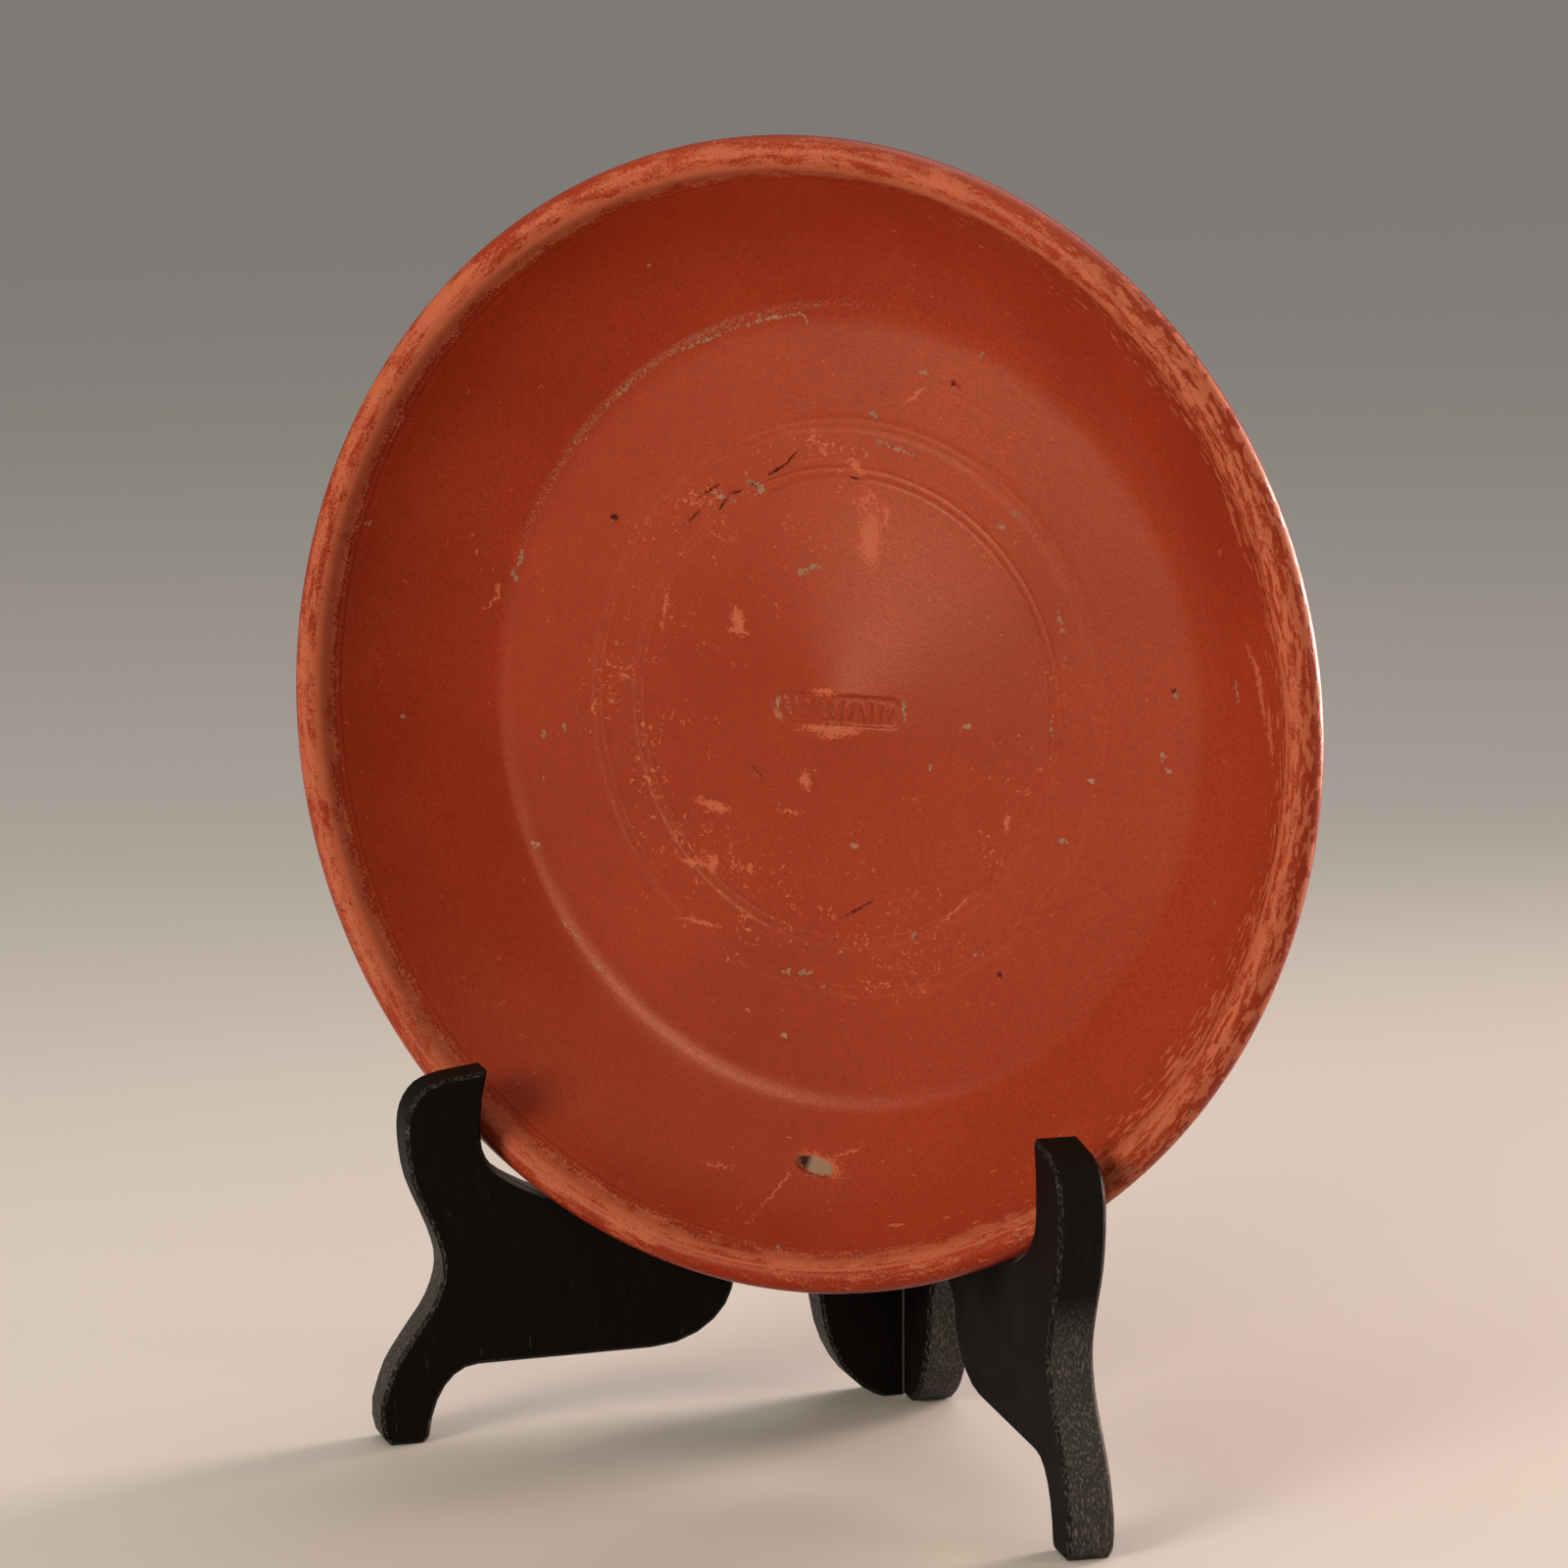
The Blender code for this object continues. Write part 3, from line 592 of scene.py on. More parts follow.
coords = add_node(tree, "TexCoord")
place = add_node(tree, "Mapping", {"vector_type": "TEXTURE", "Location": FOOT_MIDDLE,
                                   "Rotation": DISH_TURN, "Scale": (MM, MM, MM)},
                 {"Vector": coords.outputs["Object"]})
flat = add_node(tree, "VectorMath", {"operation": "MULTIPLY", 1: (1, 1, 0)}, {0: place})
radius = add_node(tree, "VectorMath", {"operation": "LENGTH"}, {0: flat}).outputs["Value"]
apart = add_node(tree, "SeparateXYZ", {}, {0: place})
geometry = add_node(tree, "NewGeometry")
outward = add_node(tree, "VectorMath", {"operation": "DOT_PRODUCT", 1: DISH_OUTWARD},
                   {0: geometry.outputs["Normal"]}).outputs["Value"]
open_side = add_node(tree, "MapRange", {"From Min": -0.05, "From Max": 0.05}, {0: outward})

# %% [markdown]
# The marks' outlines are made uneven by moving the coordinates a little with noise, about a millimetre
# coarse. Each mark is an ellipse, and the nearest one counts.

# %% Slip: marks
def stirred(scale, detail, reach):
    """The flat coordinates, each point moved aside by noise, at most by about half of reach."""
    aside = add_node(tree, "TexNoise", {"Scale": scale, "Detail": detail, "Roughness": 0.6},
                     {"Vector": place})
    aside = add_node(tree, "VectorMath", {"operation": "SUBTRACT", 1: (0.5, 0.5, 0.5)},
                     {0: aside.outputs["Color"]})
    aside = add_node(tree, "VectorMath", {"operation": "SCALE", "Scale": reach}, {0: aside})
    return add_node(tree, "VectorMath", {"operation": "ADD"}, {0: flat, 1: aside})


uneven = stirred(0.9, 5.0, 2.8)
jagged = stirred(1.9, 3.0, 1.7)
crumbs = add_node(tree, "TexNoise", {"Scale": 2.6, "Detail": 4.0, "Roughness": 0.65}, {"Vector": place})


def mark_field(tree, marks, source):
    """Nearness to the closest mark: under 1 inside it."""
    nearest = None
    for x, y, half_length, half_width, turn_degrees in marks:
        local = add_node(tree, "Mapping", {"vector_type": "TEXTURE", "Location": (x, y, 0),
                                           "Rotation": (0, 0, math.radians(turn_degrees)),
                                           "Scale": (half_length, half_width, 1000)}, {"Vector": source})
        length = add_node(tree, "VectorMath", {"operation": "LENGTH"}, {0: local}).outputs["Value"]
        if nearest is None:
            nearest = length
        else:
            nearest = add_node(tree, "Math", {"operation": "MINIMUM"}, {0: nearest, 1: length})
    return nearest


def worn_mask(tree, field, noise, strength, soft):
    """1 inside the marks and 0 outside, with an edge broken up by noise."""
    broken = add_node(tree, "Math", {"operation": "MULTIPLY_ADD", 1: strength}, {0: noise, 2: field})
    edge = 1.0 + strength * 0.5
    return add_node(tree, "MapRange", {"From Min": edge + soft, "From Max": edge - soft}, {0: broken})


clay_marks = worn_mask(tree, mark_field(tree, BARE_CLAY, uneven), crumbs, 3.4, 0.30)
pit_marks = worn_mask(tree, mark_field(tree, PITS, jagged), crumbs, 2.0, 0.35)
chip_mark = worn_mask(tree, mark_field(tree, [CHIP], jagged), crumbs, 0.5, 0.12)

# %% [markdown]
# Two tools read the distance from the axis: a curve gives each radius its own share of wear, and a line
# marks one radius. The numbers of a curve are shares of its span, each with a value.

# %% Slip: tools that read the radius
def over_radius(first, last, values):
    """A value on a smooth curve over the radius, from first to last in millimetres."""
    share = add_node(tree, "MapRange", {"From Min": first, "From Max": last}, {0: radius})
    node = add_node(tree, "FloatCurve", {}, {1: share})
    curve = node.mapping.curves[0]
    for x, y in values[1:-1]:
        curve.points.new(x, y)
    curve.points[0].location, curve.points[-1].location = values[0], values[-1]
    node.mapping.update()
    return node


def ring_line(ring, reach, core):
    """1 within core of a ring round the axis, and 0 beyond reach of it, in millimetres."""
    gap = add_node(tree, "Math", {"operation": "SUBTRACT", 1: ring}, {0: radius})
    gap = add_node(tree, "Math", {"operation": "ABSOLUTE"}, {0: gap})
    return add_node(tree, "MapRange", {"From Min": reach, "From Max": core}, {0: gap})


# %% [markdown]
# Wear is worst on the rim, which every hand and every shelf touches: the bead's inner edge is rubbed to
# the clay nearly all round, its crest in ragged patches, more on the upper left than on the lower right.
# The wear runs along the rim, so its noise is read on a cylinder: round the axis slowly, across the rim
# fast. On the right, streaks run in a band inside the rim, and toward the bottom two bare lines run
# along the bead's inner foot.

# %% Slip: wear of the rim
RIM_LINES = (82.9, 83.9)
crest = over_radius(70.0, 90.0, (
    (0.0, 0.60), (0.58, 0.60), (0.61, 0.66), (0.65, 0.67), (0.68, 0.57), (0.71, 0.49), (0.76, 0.53),
    (0.82, 0.48), (0.86, 0.38), (0.90, 0.24), (1.0, 0.10)))
direction = add_node(tree, "VectorMath", {"operation": "NORMALIZE"}, {0: flat})
round_axis = add_node(tree, "VectorMath", {"operation": "SCALE", "Scale": 16.0}, {0: direction})
across_rim = add_node(tree, "CombineXYZ", {}, {"Z": radius})
along_rim = add_node(tree, "VectorMath", {"operation": "ADD"}, {0: round_axis, 1: across_rim})
patches = add_node(tree, "TexNoise", {"Scale": 0.06, "Detail": 4.0, "Roughness": 0.6},
                   {"Vector": place})
ragged = add_node(tree, "TexNoise", {"Scale": 1.0, "Detail": 8.0, "Roughness": 0.72},
                  {"Vector": along_rim})
rub = add_node(tree, "Math", {"operation": "MULTIPLY_ADD", 1: 0.8}, {0: patches, 2: crest})
rub = add_node(tree, "Math", {"operation": "ADD"}, {0: rub, 1: ragged})
to_upper_left = add_node(tree, "VectorMath", {"operation": "DOT_PRODUCT", 1: (-0.6, 0.8, 0.0)},
                         {0: flat}).outputs["Value"]
to_upper_left = add_node(tree, "MapRange", {"From Min": -75.0, "From Max": 75.0, "To Min": -0.08,
                                            "To Max": 0.05}, {0: to_upper_left})
rub = add_node(tree, "Math", {"operation": "ADD"}, {0: rub, 1: to_upper_left})
rub = add_node(tree, "Math", {"operation": "MULTIPLY_ADD", 1: 0.7}, {0: crumbs, 2: rub})
rim_wear = add_node(tree, "MapRange", {"From Min": 1.70, "From Max": 1.86}, {0: rub})
rim_edge = add_node(tree, "Math", {"operation": "MULTIPLY_ADD", 1: 3.0}, {0: ragged, 2: radius})
rim_edge = add_node(tree, "Math", {"operation": "MULTIPLY_ADD", 1: 3.2}, {0: crumbs, 2: rim_edge})
on_rim = add_node(tree, "MapRange", {"From Min": 85.2, "From Max": 85.5}, {0: rim_edge})
rim_wear = add_node(tree, "Math", {"operation": "MULTIPLY"}, {0: rim_wear, 1: on_rim})

streaks = add_node(tree, "TexNoise", {"Scale": 1.5, "Detail": 4.0, "Roughness": 0.6},
                   {"Vector": along_rim})
near_rim = add_node(tree, "MapRange", {"From Min": 73.0, "From Max": 81.0, "To Max": 0.20}, {0: radius})
to_right = add_node(tree, "MapRange", {"From Min": 10.0, "From Max": 60.0}, {0: apart.outputs[0]})
near_rim = add_node(tree, "Math", {"operation": "MULTIPLY"}, {0: near_rim, 1: to_right})
streak_sum = add_node(tree, "Math", {"operation": "ADD"}, {0: streaks, 1: near_rim})
streak_mask = add_node(tree, "MapRange", {"From Min": 0.70, "From Max": 0.73}, {0: streak_sum})
rim_wear = add_node(tree, "Math", {"operation": "MAXIMUM"}, {0: rim_wear, 1: streak_mask})
to_bottom = add_node(tree, "MapRange", {"From Min": -45.0, "From Max": -78.0, "To Max": 0.75},
                     {0: apart.outputs[1]})
for ring in RIM_LINES:
    line = ring_line(ring, 0.26, 0.14)
    line = add_node(tree, "Math", {"operation": "MULTIPLY"}, {0: line, 1: to_bottom})
    rim_wear = add_node(tree, "Math", {"operation": "MAXIMUM"}, {0: rim_wear, 1: line})

# %% [markdown]
# Fine flecks of slip are missing all over, most of them over the scored rings and toward the lower left,
# and thickest in the speckled zones.

# %% Slip: flecks
fleck_noise = add_node(tree, "TexNoise", {"Scale": 1.1, "Detail": 4.0, "Roughness": 0.62,
                                          "Distortion": 0.8}, {"Vector": place})
where = over_radius(0.0, 90.0, (
    (0.0, 0.30), (0.12, 0.34), (0.24, 0.50), (0.40, 0.66), (0.50, 0.52), (0.58, 0.22), (0.68, 0.14),
    (0.80, 0.18), (0.88, 0.36), (1.0, 0.40)))
zones = add_node(tree, "TexNoise", {"Scale": 0.13, "Detail": 3.0}, {"Vector": place})
low_left = add_node(tree, "VectorMath", {"operation": "DOT_PRODUCT", 1: (-0.7, -0.7, 0.0)},
                    {0: flat}).outputs["Value"]
low_left = add_node(tree, "MapRange", {"From Min": -45.0, "From Max": 30.0, "To Min": 0.18,
                                       "To Max": 0.28}, {0: low_left})
chance = add_node(tree, "Math", {"operation": "MULTIPLY_ADD"}, {0: where, 1: low_left, 2: fleck_noise})
fleck_sum = add_node(tree, "Math", {"operation": "MULTIPLY_ADD", 1: 0.45}, {0: zones, 2: chance})
speckled = add_node(tree, "MapRange", {"From Min": 1.2, "From Max": 0.4, "To Max": 0.12},
                    {0: mark_field(tree, SPECKLED, uneven)})
fleck_sum = add_node(tree, "Math", {"operation": "ADD"}, {0: fleck_sum, 1: speckled})
flecks = add_node(tree, "MapRange", {"From Min": 1.035, "From Max": 1.07}, {0: fleck_sum})

# %% [markdown]
# The ridges beside the scored lines are rubbed pale, and a little lime has caught in the corner between
# the floor and the wall, at the upper left.

# %% Slip: rings and the corner
RIDGES = [ring + aside for ring in SCORED_RINGS for aside in (-0.5, 0.5, 1.05)]
ring_wear = ring_line(RIDGES[0], 0.26, 0.10)
for ridge in RIDGES[1:]:
    ring_wear = add_node(tree, "Math", {"operation": "MAXIMUM"},
                         {0: ring_wear, 1: ring_line(ridge, 0.26, 0.10)})
ring_gaps = add_node(tree, "MapRange", {"From Min": 0.46, "From Max": 0.70, "To Max": 0.26},
                     {0: ragged})
ring_wear = add_node(tree, "Math", {"operation": "MULTIPLY"}, {0: ring_wear, 1: ring_gaps})

corner_line = ring_line(FLOOR_RADIUS + 0.3, 0.9, 0.2)
upper_left = add_node(tree, "VectorMath", {"operation": "DOT_PRODUCT", 1: (-0.55, 0.83, 0.0)},
                      {0: flat}).outputs["Value"]
upper_left = add_node(tree, "MapRange", {"From Min": 30.0, "From Max": 62.0, "To Max": 0.24},
                      {0: upper_left})
corner_dirt = add_node(tree, "Math", {"operation": "ADD"}, {0: upper_left, 1: crumbs})
corner_dirt = add_node(tree, "MapRange", {"From Min": 0.70, "From Max": 0.84, "To Max": 0.7},
                       {0: corner_dirt})
corner_dirt = add_node(tree, "Math", {"operation": "MULTIPLY"}, {0: corner_dirt, 1: corner_line})

# %% [markdown]
# The colours are laid over each other as they lie on the dish: slip, made a little paler where it faces up
# and on the floor, bare clay, lime, and the dark of the pits. The paler floor is painted haze, standing in
# for the soft reflection of the light on the gloss, and the left part of the chip gets a painted shadow.
# The slip itself varies softly, because the dish was dipped and stacked by hand, and finely, with the
# grain of the clay.

# %% Slip: colours
cloudy = add_node(tree, "TexNoise", {"Scale": 0.022, "Detail": 4.0, "Roughness": 0.55},
                  {"Vector": place})
grain = add_node(tree, "TexNoise", {"Scale": 1.9, "Detail": 4.0, "Roughness": 0.75}, {"Vector": place})
cloud_share = add_node(tree, "MapRange", {"From Min": 0.32, "From Max": 0.70}, {0: cloudy})
base = add_node(tree, "Mix", {"data_type": "RGBA", 6: linear(SLIP_RED), 7: linear(SLIP_LIGHT)},
                {0: cloud_share})
grain_share = add_node(tree, "MapRange", {"From Min": 0.44, "From Max": 0.66, "To Max": 0.55},
                       {0: grain})
base = add_node(tree, "Mix", {"data_type": "RGBA", 7: linear(SLIP_DARK)},
                {0: grain_share, 6: base.outputs[2]})
# Painted haze: the floor disc is mixed a tenth toward pale pink for the light's soft reflection on it.
# Slopes that face up are made paler as well.
painted_floor_haze = add_node(tree, "MapRange", {"From Min": 63.0, "From Max": 58.0, "To Max": 0.10}, {0: radius})
facing_up = add_node(tree, "SeparateXYZ", {}, {0: geometry.outputs["Normal"]}).outputs[2]
upward_paling_and_floor_haze = add_node(tree, "MapRange", {"From Min": -0.2, "From Max": 0.6, "To Max": 0.09}, {0: facing_up})
upward_paling_and_floor_haze = add_node(tree, "Math", {"operation": "MAXIMUM"}, {0: upward_paling_and_floor_haze, 1: painted_floor_haze})
base = add_node(tree, "Mix", {"data_type": "RGBA", 7: linear(CLAY_AND_HAZE_PINK)}, {0: upward_paling_and_floor_haze, 6: base.outputs[2]})
clay_share = clay_marks
for wear in (rim_wear, flecks, ring_wear):
    clay_share = add_node(tree, "Math", {"operation": "MAXIMUM"}, {0: clay_share, 1: wear})
clay_share = add_node(tree, "Math", {"operation": "MULTIPLY", 1: 0.85}, {0: clay_share})
clay_share = add_node(tree, "Math", {"operation": "MULTIPLY"}, {0: clay_share, 1: open_side})
clay_tone = add_node(tree, "MapRange", {"From Min": 0.40, "From Max": 0.60}, {0: crumbs})
clay = add_node(tree, "Mix", {"data_type": "RGBA", 6: linear(CLAY_ORANGE), 7: linear(CLAY_AND_HAZE_PINK)},
                {0: clay_tone})
colour = add_node(tree, "Mix", {"data_type": "RGBA"},
                  {0: clay_share, 6: base.outputs[2], 7: clay.outputs[2]})
lime_share = add_node(tree, "Math", {"operation": "MAXIMUM"}, {0: chip_mark, 1: corner_dirt})
lime_share = add_node(tree, "Math", {"operation": "MULTIPLY"}, {0: lime_share, 1: open_side})
colour = add_node(tree, "Mix", {"data_type": "RGBA", 7: linear(LIME_TAN)},
                  {0: lime_share, 6: colour.outputs[2]})
# Painted shadow: the left part of the chip is darkened with the pit colour, standing in for the shade of
# its broken edge.
chip_shade = add_node(tree, "MapRange", {"From Min": CHIP[0] - 1.0, "From Max": CHIP[0] - 2.0},
                      {0: apart.outputs[0]})
chip_shade = add_node(tree, "Math", {"operation": "MULTIPLY"}, {0: chip_shade, 1: chip_mark})
pit_dark_and_chip_shadow = add_node(tree, "Math", {"operation": "MAXIMUM"}, {0: pit_marks, 1: chip_shade})
pit_dark_and_chip_shadow = add_node(tree, "Math", {"operation": "MULTIPLY"}, {0: pit_dark_and_chip_shadow, 1: open_side})
colour = add_node(tree, "Mix", {"data_type": "RGBA", 7: linear(PIT_AND_CHIP_SHADOW_DARK)},
                  {0: pit_dark_and_chip_shadow, 6: colour.outputs[2]})
tree.links.new(colour.outputs[2], shader.inputs["Base Color"])

# %% [markdown]
# The gloss is soft. Sound slip is 0.17 to 0.31 rough but reflects weakly, with a warm tint, and bare clay
# and lime are nearly matt. Very fine wheel lines and grains of the clay break up the highlight on the
# cone.

# %% Slip: gloss and relief
dull = add_node(tree, "Math", {"operation": "MAXIMUM"}, {0: clay_share, 1: lime_share})
gloss_noise = add_node(tree, "MapRange", {"From Min": 0.3, "From Max": 0.7, "To Min": 0.17,
                                          "To Max": 0.31}, {0: grain})
roughness = add_node(tree, "Mix", {"data_type": "FLOAT", 3: 0.62}, {0: dull, 2: gloss_noise})
tree.links.new(roughness.outputs[0], shader.inputs["Roughness"])
shader.inputs["IOR"].default_value = 1.5
shader.inputs["Specular IOR Level"].default_value = 0.18
shader.inputs["Specular Tint"].default_value = linear("#FFD0B2")
shader.inputs["Metallic"].default_value = 0.0
wheel_lines = add_node(tree, "Math", {"operation": "MULTIPLY", 1: 3.4}, {0: radius})
wheel_lines = add_node(tree, "TexNoise", {"noise_dimensions": "1D", "Scale": 1.0, "Detail": 3.0},
                       {"W": wheel_lines})
relief = add_node(tree, "Math", {"operation": "MULTIPLY_ADD", 1: 0.3}, {0: wheel_lines, 2: grain})
bump = add_node(tree, "Bump", {"Strength": 0.6, "Distance": 0.06 * MM}, {"Height": relief})
tree.links.new(bump.outputs[0], shader.inputs["Normal"])
print("slip material has", len(tree.nodes), "nodes")

# %% [markdown]
# Dried lime is chalky: quite matt, tan to grey, and darker where soil is mixed in.

# %% Lime crust
LIME_DARK = "#7E5844"
LIME_PALE = "#A2775E"

coords = add_node(lime_tree, "TexCoord")
chalk = add_node(lime_tree, "TexNoise", {"Scale": 900.0, "Detail": 3.0},
                 {"Vector": coords.outputs["Object"]})
chalk_share = add_node(lime_tree, "MapRange", {"From Min": 0.35, "From Max": 0.65}, {0: chalk})
chalk_colour = add_node(lime_tree, "Mix", {"data_type": "RGBA", 6: linear(LIME_DARK),
                                           7: linear(LIME_PALE)}, {0: chalk_share})
lime_tree.links.new(chalk_colour.outputs[2], lime_shader.inputs["Base Color"])
lime_shader.inputs["Roughness"].default_value = 0.85

# %% [markdown]
# ## Black-stained wood
# The boards are a plain light hardwood, sawn, sanded and stained black. The grain runs upright. The stain
# has a dull sheen, and the arrises and the sawn edges are rubbed to a speckled grey. Below the waist the
# sawn edges are much greyer: partly wear, and partly painted light for the lower edge that slopes up
# toward the lamps. Where the boards meet the grey is left out, a painted shade that keeps the slit between
# them dark. A board's own direction across its thickness tells its faces, edges and arrises apart. The
# board's numbers are those of the part's source, in millimetres.

# %% Wood material
SPREAD = math.radians(43.2)
BOARD_BLACK = "#080706"
BOARD_BROWN = "#130E0C"
WORN_AND_SHEEN_GREY = "#74706C"
NOTCH_REACH, NOTCH_HEIGHT, MEETING_Y = 66.0, 40.0, 29.395


def stained_wood(name, side):
    material, tree, shader = new_material(name)
    across = (side * math.cos(SPREAD), math.sin(SPREAD), 0.0)
    coords = add_node(tree, "TexCoord")
    place = add_node(tree, "Mapping", {"Scale": (1 / MM, 1 / MM, 1 / MM)},
                     {"Vector": coords.outputs["Object"]})
    apart = add_node(tree, "SeparateXYZ", {}, {0: place})
    geometry = add_node(tree, "NewGeometry")
    facing = add_node(tree, "VectorMath", {"operation": "DOT_PRODUCT", 1: across},
                      {0: geometry.outputs["Normal"]}).outputs["Value"]
    facing = add_node(tree, "Math", {"operation": "ABSOLUTE"}, {0: facing})
    sawn_edge = add_node(tree, "MapRange", {"From Min": 0.45, "From Max": 0.20}, {0: facing})
    arris_in = add_node(tree, "MapRange", {"From Min": 0.40, "From Max": 0.60}, {0: facing})
    arris_out = add_node(tree, "MapRange", {"From Min": 0.95, "From Max": 0.82}, {0: facing})
    arris = add_node(tree, "Math", {"operation": "MULTIPLY"}, {0: arris_in, 1: arris_out})
    stretched = add_node(tree, "Mapping", {"Scale": (1.0, 1.0, 0.14)}, {"Vector": place})
    fibres = add_node(tree, "TexNoise", {"Scale": 1.3, "Detail": 5.0, "Roughness": 0.65},
                      {"Vector": stretched})
    specks = add_node(tree, "Mapping", {"Scale": (1.0, 1.0, 0.38)}, {"Vector": place})
    specks = add_node(tree, "TexNoise", {"Scale": 3.0, "Detail": 3.0, "Roughness": 0.6},
                      {"Vector": specks})
    broad = add_node(tree, "TexNoise", {"Scale": 0.06, "Detail": 2.0}, {"Vector": place})
    fibre_share = add_node(tree, "MapRange", {"From Min": 0.42, "From Max": 0.72}, {0: fibres})
    colour = add_node(tree, "Mix", {"data_type": "RGBA", 6: linear(BOARD_BLACK),
                                    7: linear(BOARD_BROWN)}, {0: fibre_share})
    speck_wear_and_painted_light = add_node(tree, "MapRange", {"From Min": 0.50, "From Max": 0.72, "To Min": 0.18,
                                              "To Max": 0.85}, {0: specks})
    # Below about 30 mm the edges get far more grey specks: partly wear, partly painted light on the lower
    # edge that slopes up toward the lamps.
    lower_edge_wear_and_painted_light = add_node(tree, "MapRange", {"From Min": 38.0, "From Max": 30.0, "To Min": 0.04},
                        {0: apart.outputs[2]})
    for limit in (lower_edge_wear_and_painted_light, sawn_edge):
        speck_wear_and_painted_light = add_node(tree, "Math", {"operation": "MULTIPLY"}, {0: speck_wear_and_painted_light, 1: limit})
    face_scratch = add_node(tree, "MapRange", {"From Min": 0.68, "From Max": 0.76, "To Max": 0.35},
                            {0: fibres})
    arris_share = add_node(tree, "MapRange", {"From Min": 0.50, "From Max": 0.64, "To Max": 0.34},
                           {0: specks})
    arris_share = add_node(tree, "Math", {"operation": "MULTIPLY"}, {0: arris_share, 1: arris})
    notch = Vector((side * NOTCH_REACH * math.sin(SPREAD), MEETING_Y - NOTCH_REACH * math.cos(SPREAD),
                    NOTCH_HEIGHT))
    from_notch = add_node(tree, "VectorMath", {"operation": "DISTANCE", 1: notch},
                          {0: place}).outputs["Value"]
    notch_share = add_node(tree, "MapRange", {"From Min": 8.0, "From Max": 3.0, "To Max": 0.6},
                           {0: from_notch})
    edge_or_arris = add_node(tree, "Math", {"operation": "MAXIMUM"}, {0: sawn_edge, 1: arris})
    notch_share = add_node(tree, "Math", {"operation": "MULTIPLY"}, {0: notch_share, 1: edge_or_arris})
    wear_and_painted_light = speck_wear_and_painted_light
    for wear in (arris_share, face_scratch, notch_share):
        wear_and_painted_light = add_node(tree, "Math", {"operation": "MAXIMUM"}, {0: wear_and_painted_light, 1: wear})
    from_meeting = add_node(tree, "Math", {"operation": "ABSOLUTE"}, {0: apart})
    # Painted shade: no grey within 1 to 3 mm of where the boards meet, so the slit between them stays
    # dark.
    unshaded_away_from_meeting = add_node(tree, "MapRange", {"From Min": 1.0, "From Max": 3.0}, {0: from_meeting})
    wear_and_painted_light = add_node(tree, "Math", {"operation": "MULTIPLY"}, {0: wear_and_painted_light, 1: unshaded_away_from_meeting})
    colour = add_node(tree, "Mix", {"data_type": "RGBA", 7: linear(WORN_AND_SHEEN_GREY)},
                      {0: wear_and_painted_light, 6: colour.outputs[2]})
    tree.links.new(colour.outputs[2], shader.inputs["Base Color"])
    roughness = add_node(tree, "MapRange", {"From Min": 0.3, "From Max": 0.7, "To Min": 0.55,
                                            "To Max": 0.72}, {0: broad})
    tree.links.new(roughness.outputs[0], shader.inputs["Roughness"])
    relief = add_node(tree, "Math", {"operation": "MULTIPLY_ADD", 1: 0.5}, {0: specks, 2: fibres})
    bump = add_node(tree, "Bump", {"Strength": 0.5, "Distance": 0.12 * MM}, {"Height": relief})
    tree.links.new(bump.outputs[0], shader.inputs["Normal"])
    shader.inputs["IOR"].default_value = 1.5
    shader.inputs["Specular IOR Level"].default_value = 0.09
    return material


for hand, side in (("right", 1), ("left", -1)):
    node_name = "stand_board_" + hand
    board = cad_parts[node_name]
    board.material_slots[0].material = stained_wood("black-stained hardwood, " + hand + " board", side)
    print(node_name, "slots:", len(board.material_slots), "faces:", len(board.data.polygons))

# %% [markdown]
# ## Floor and light
# The object stands on a plain pale floor, a wide disc. Its edge is drawn up and outward far away, so that
# no dark line shows where it ends.

# %% Floor
FLOOR_REACH = 100.0
EDGE_RISE, EDGE_SPREAD = 1.0, 4

start_clean()
bpy.ops.mesh.primitive_circle_add(vertices=96, radius=FLOOR_REACH, fill_type="NGON", location=(0, 0, 0))
floor = bpy.context.object
floor.name = "studio_floor"
bpy.ops.object.mode_set(mode="EDIT")
bpy.ops.mesh.select_mode(type="EDGE")
bpy.ops.mesh.select_all(action="SELECT")
bpy.ops.mesh.extrude_edges_move(TRANSFORM_OT_translate={"value": (0, 0, EDGE_RISE)})
bpy.ops.transform.resize(value=(EDGE_SPREAD, EDGE_SPREAD, 1), center_override=(0, 0, EDGE_RISE))
bpy.ops.object.mode_set(mode="OBJECT")
floor_material, tree, shader = new_material("matt pale studio floor")
shader.inputs["Base Color"].default_value = linear("#C6C3BE")
shader.inputs["Roughness"].default_value = 0.9
floor.data.materials.append(floor_material)
print("floor reaches", FLOOR_REACH * EDGE_SPREAD, "m")


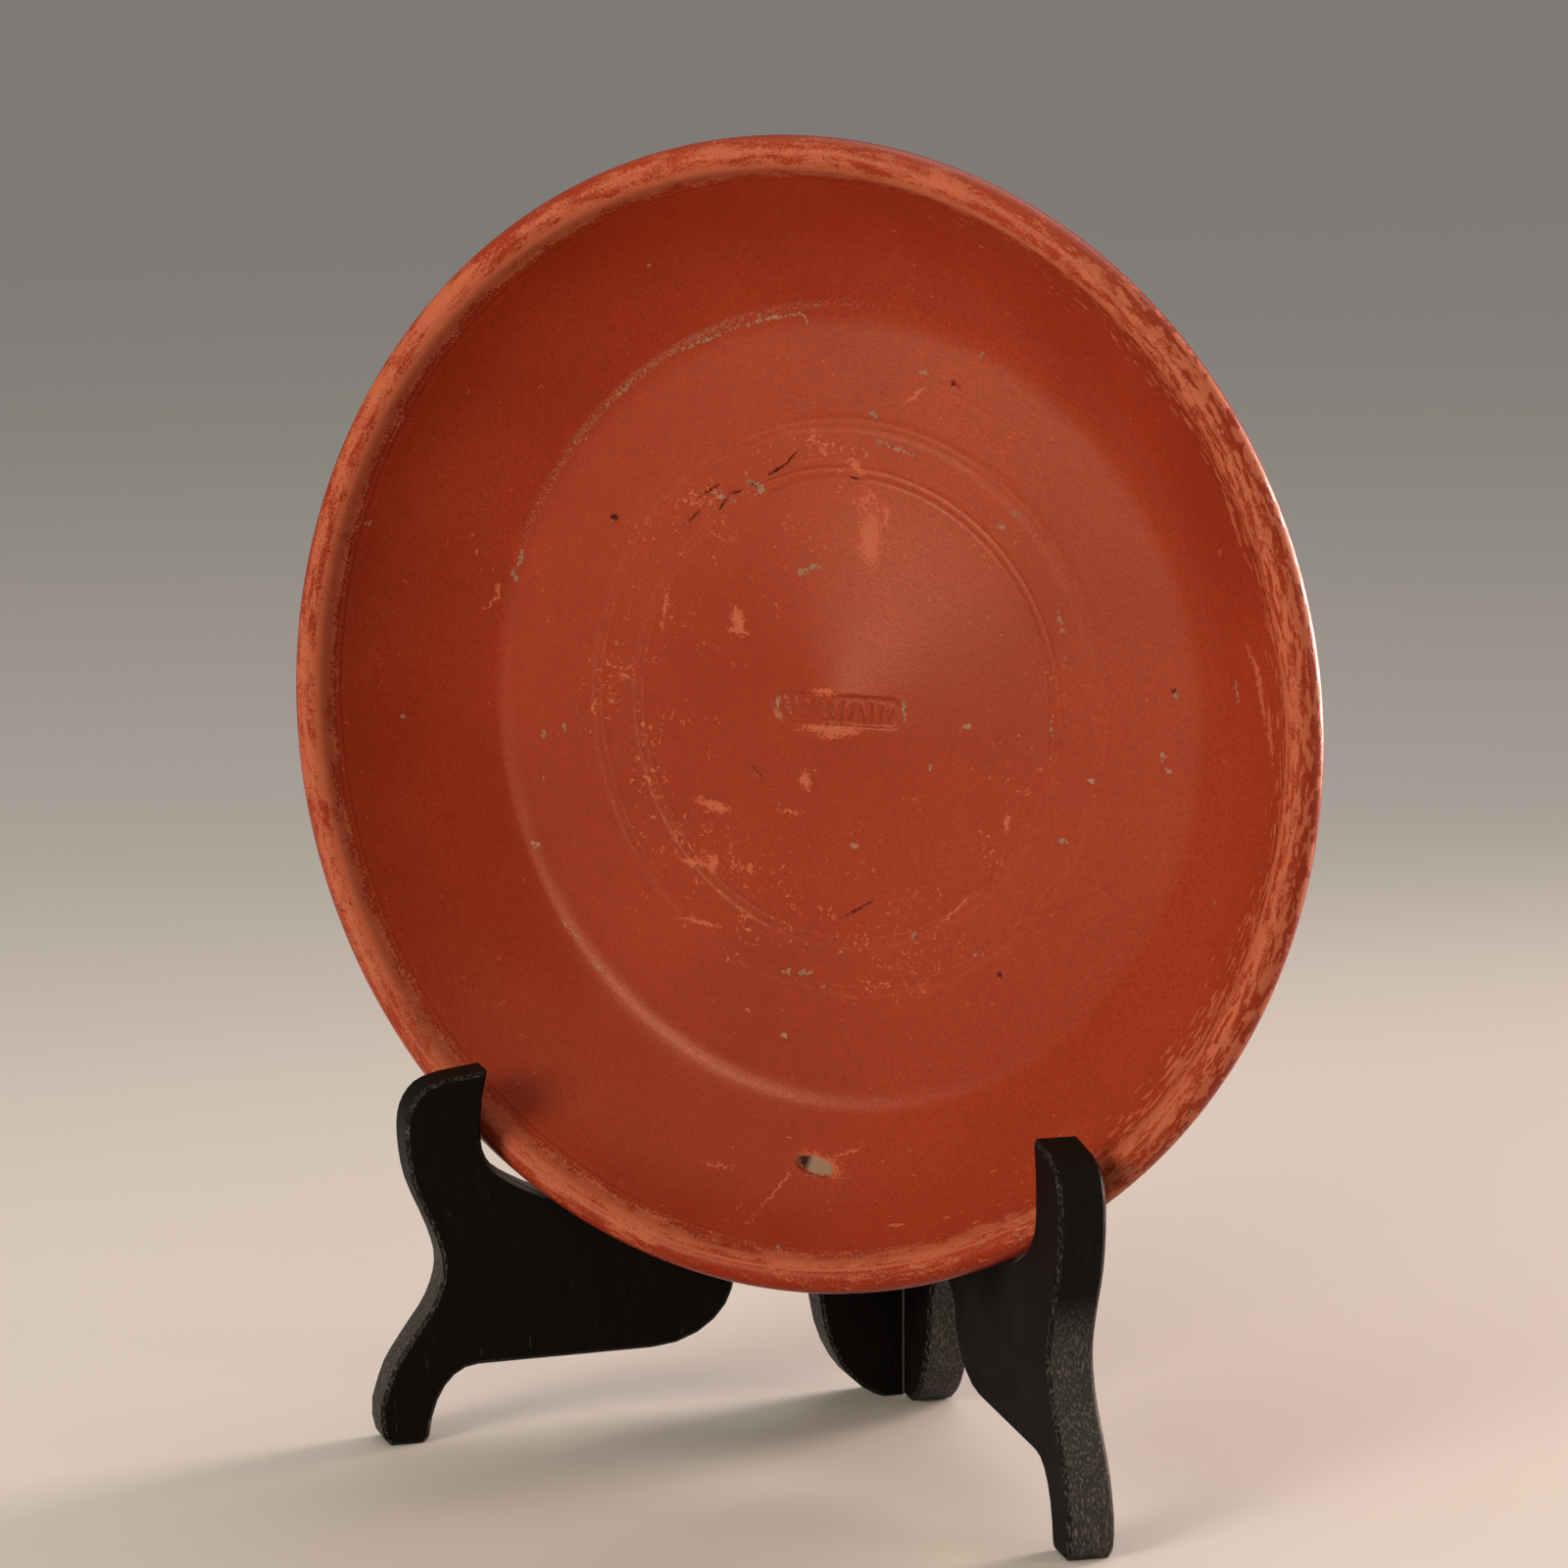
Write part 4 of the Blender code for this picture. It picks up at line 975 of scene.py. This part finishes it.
# %% [markdown]
# The main light is a soft box a little to the left of the dish's axis, somewhat above it: its reflection
# makes the bright fan on the cone. A wide box overhead lights the floor, the bottom of the wall and the
# tops of the boards. On the right, a strip draws the light line along the rim, and a panel farther round
# catches the bead's outside. A high soft light behind the dish and a dim sky fill the shadows.

# %% Lights
DISH_MIDDLE_HEIGHT = 0.11


def soft_light(name, azimuth, elevation, distance, width, height, watts, hex_colour, beam=180):
    """An area light that faces the dish. Azimuth is measured from the dish's front, to the right."""
    a, e = math.radians(azimuth), math.radians(elevation)
    toward = Vector((math.sin(a) * math.cos(e), -math.cos(a) * math.cos(e), math.sin(e)))
    data = bpy.data.lights.new(name, "AREA")
    data.shape = "RECTANGLE"
    data.size, data.size_y = width, height
    data.energy = watts
    data.spread = math.radians(beam)
    data.color = linear(hex_colour)[:3]
    lamp = bpy.data.objects.new(name, data)
    bpy.context.scene.collection.objects.link(lamp)
    lamp.location = Vector((0.0, 0.0, DISH_MIDDLE_HEIGHT)) + toward * distance
    lamp.rotation_mode = "QUATERNION"
    lamp.rotation_quaternion = (-toward).to_track_quat("-Z", "Y")


soft_light("key soft box, front", -17, 16, 1.1, 0.36, 0.50, 8.8, "#FFF0DE")
soft_light("overhead soft box", 0, 78, 1.1, 1.5, 1.5, 6.8, "#FFF0DE")
soft_light("strip light, right", 104, 10, 0.9, 0.14, 0.7, 2.0, "#FFEEE2")
soft_light("panel behind the right side", 152, 3, 0.9, 0.32, 0.6, 4.0, "#FFE0D2", 70)
sky_data = bpy.data.lights.new("high soft light behind the dish", "SUN")
sky_data.energy = 0.9
sky_data.angle = math.radians(50)
sky_light = bpy.data.objects.new("high soft light behind the dish", sky_data)
bpy.context.scene.collection.objects.link(sky_light)
sky_light.rotation_euler = (math.radians(-35), 0.0, 0.0)
world = bpy.data.worlds.new("studio")
bpy.context.scene.world = world
world.use_nodes = True
world.node_tree.nodes["Background"].inputs["Color"].default_value = linear("#DCD4CA")
world.node_tree.nodes["Background"].inputs["Strength"].default_value = 0.16
bpy.context.scene.view_settings.view_transform = "Standard"
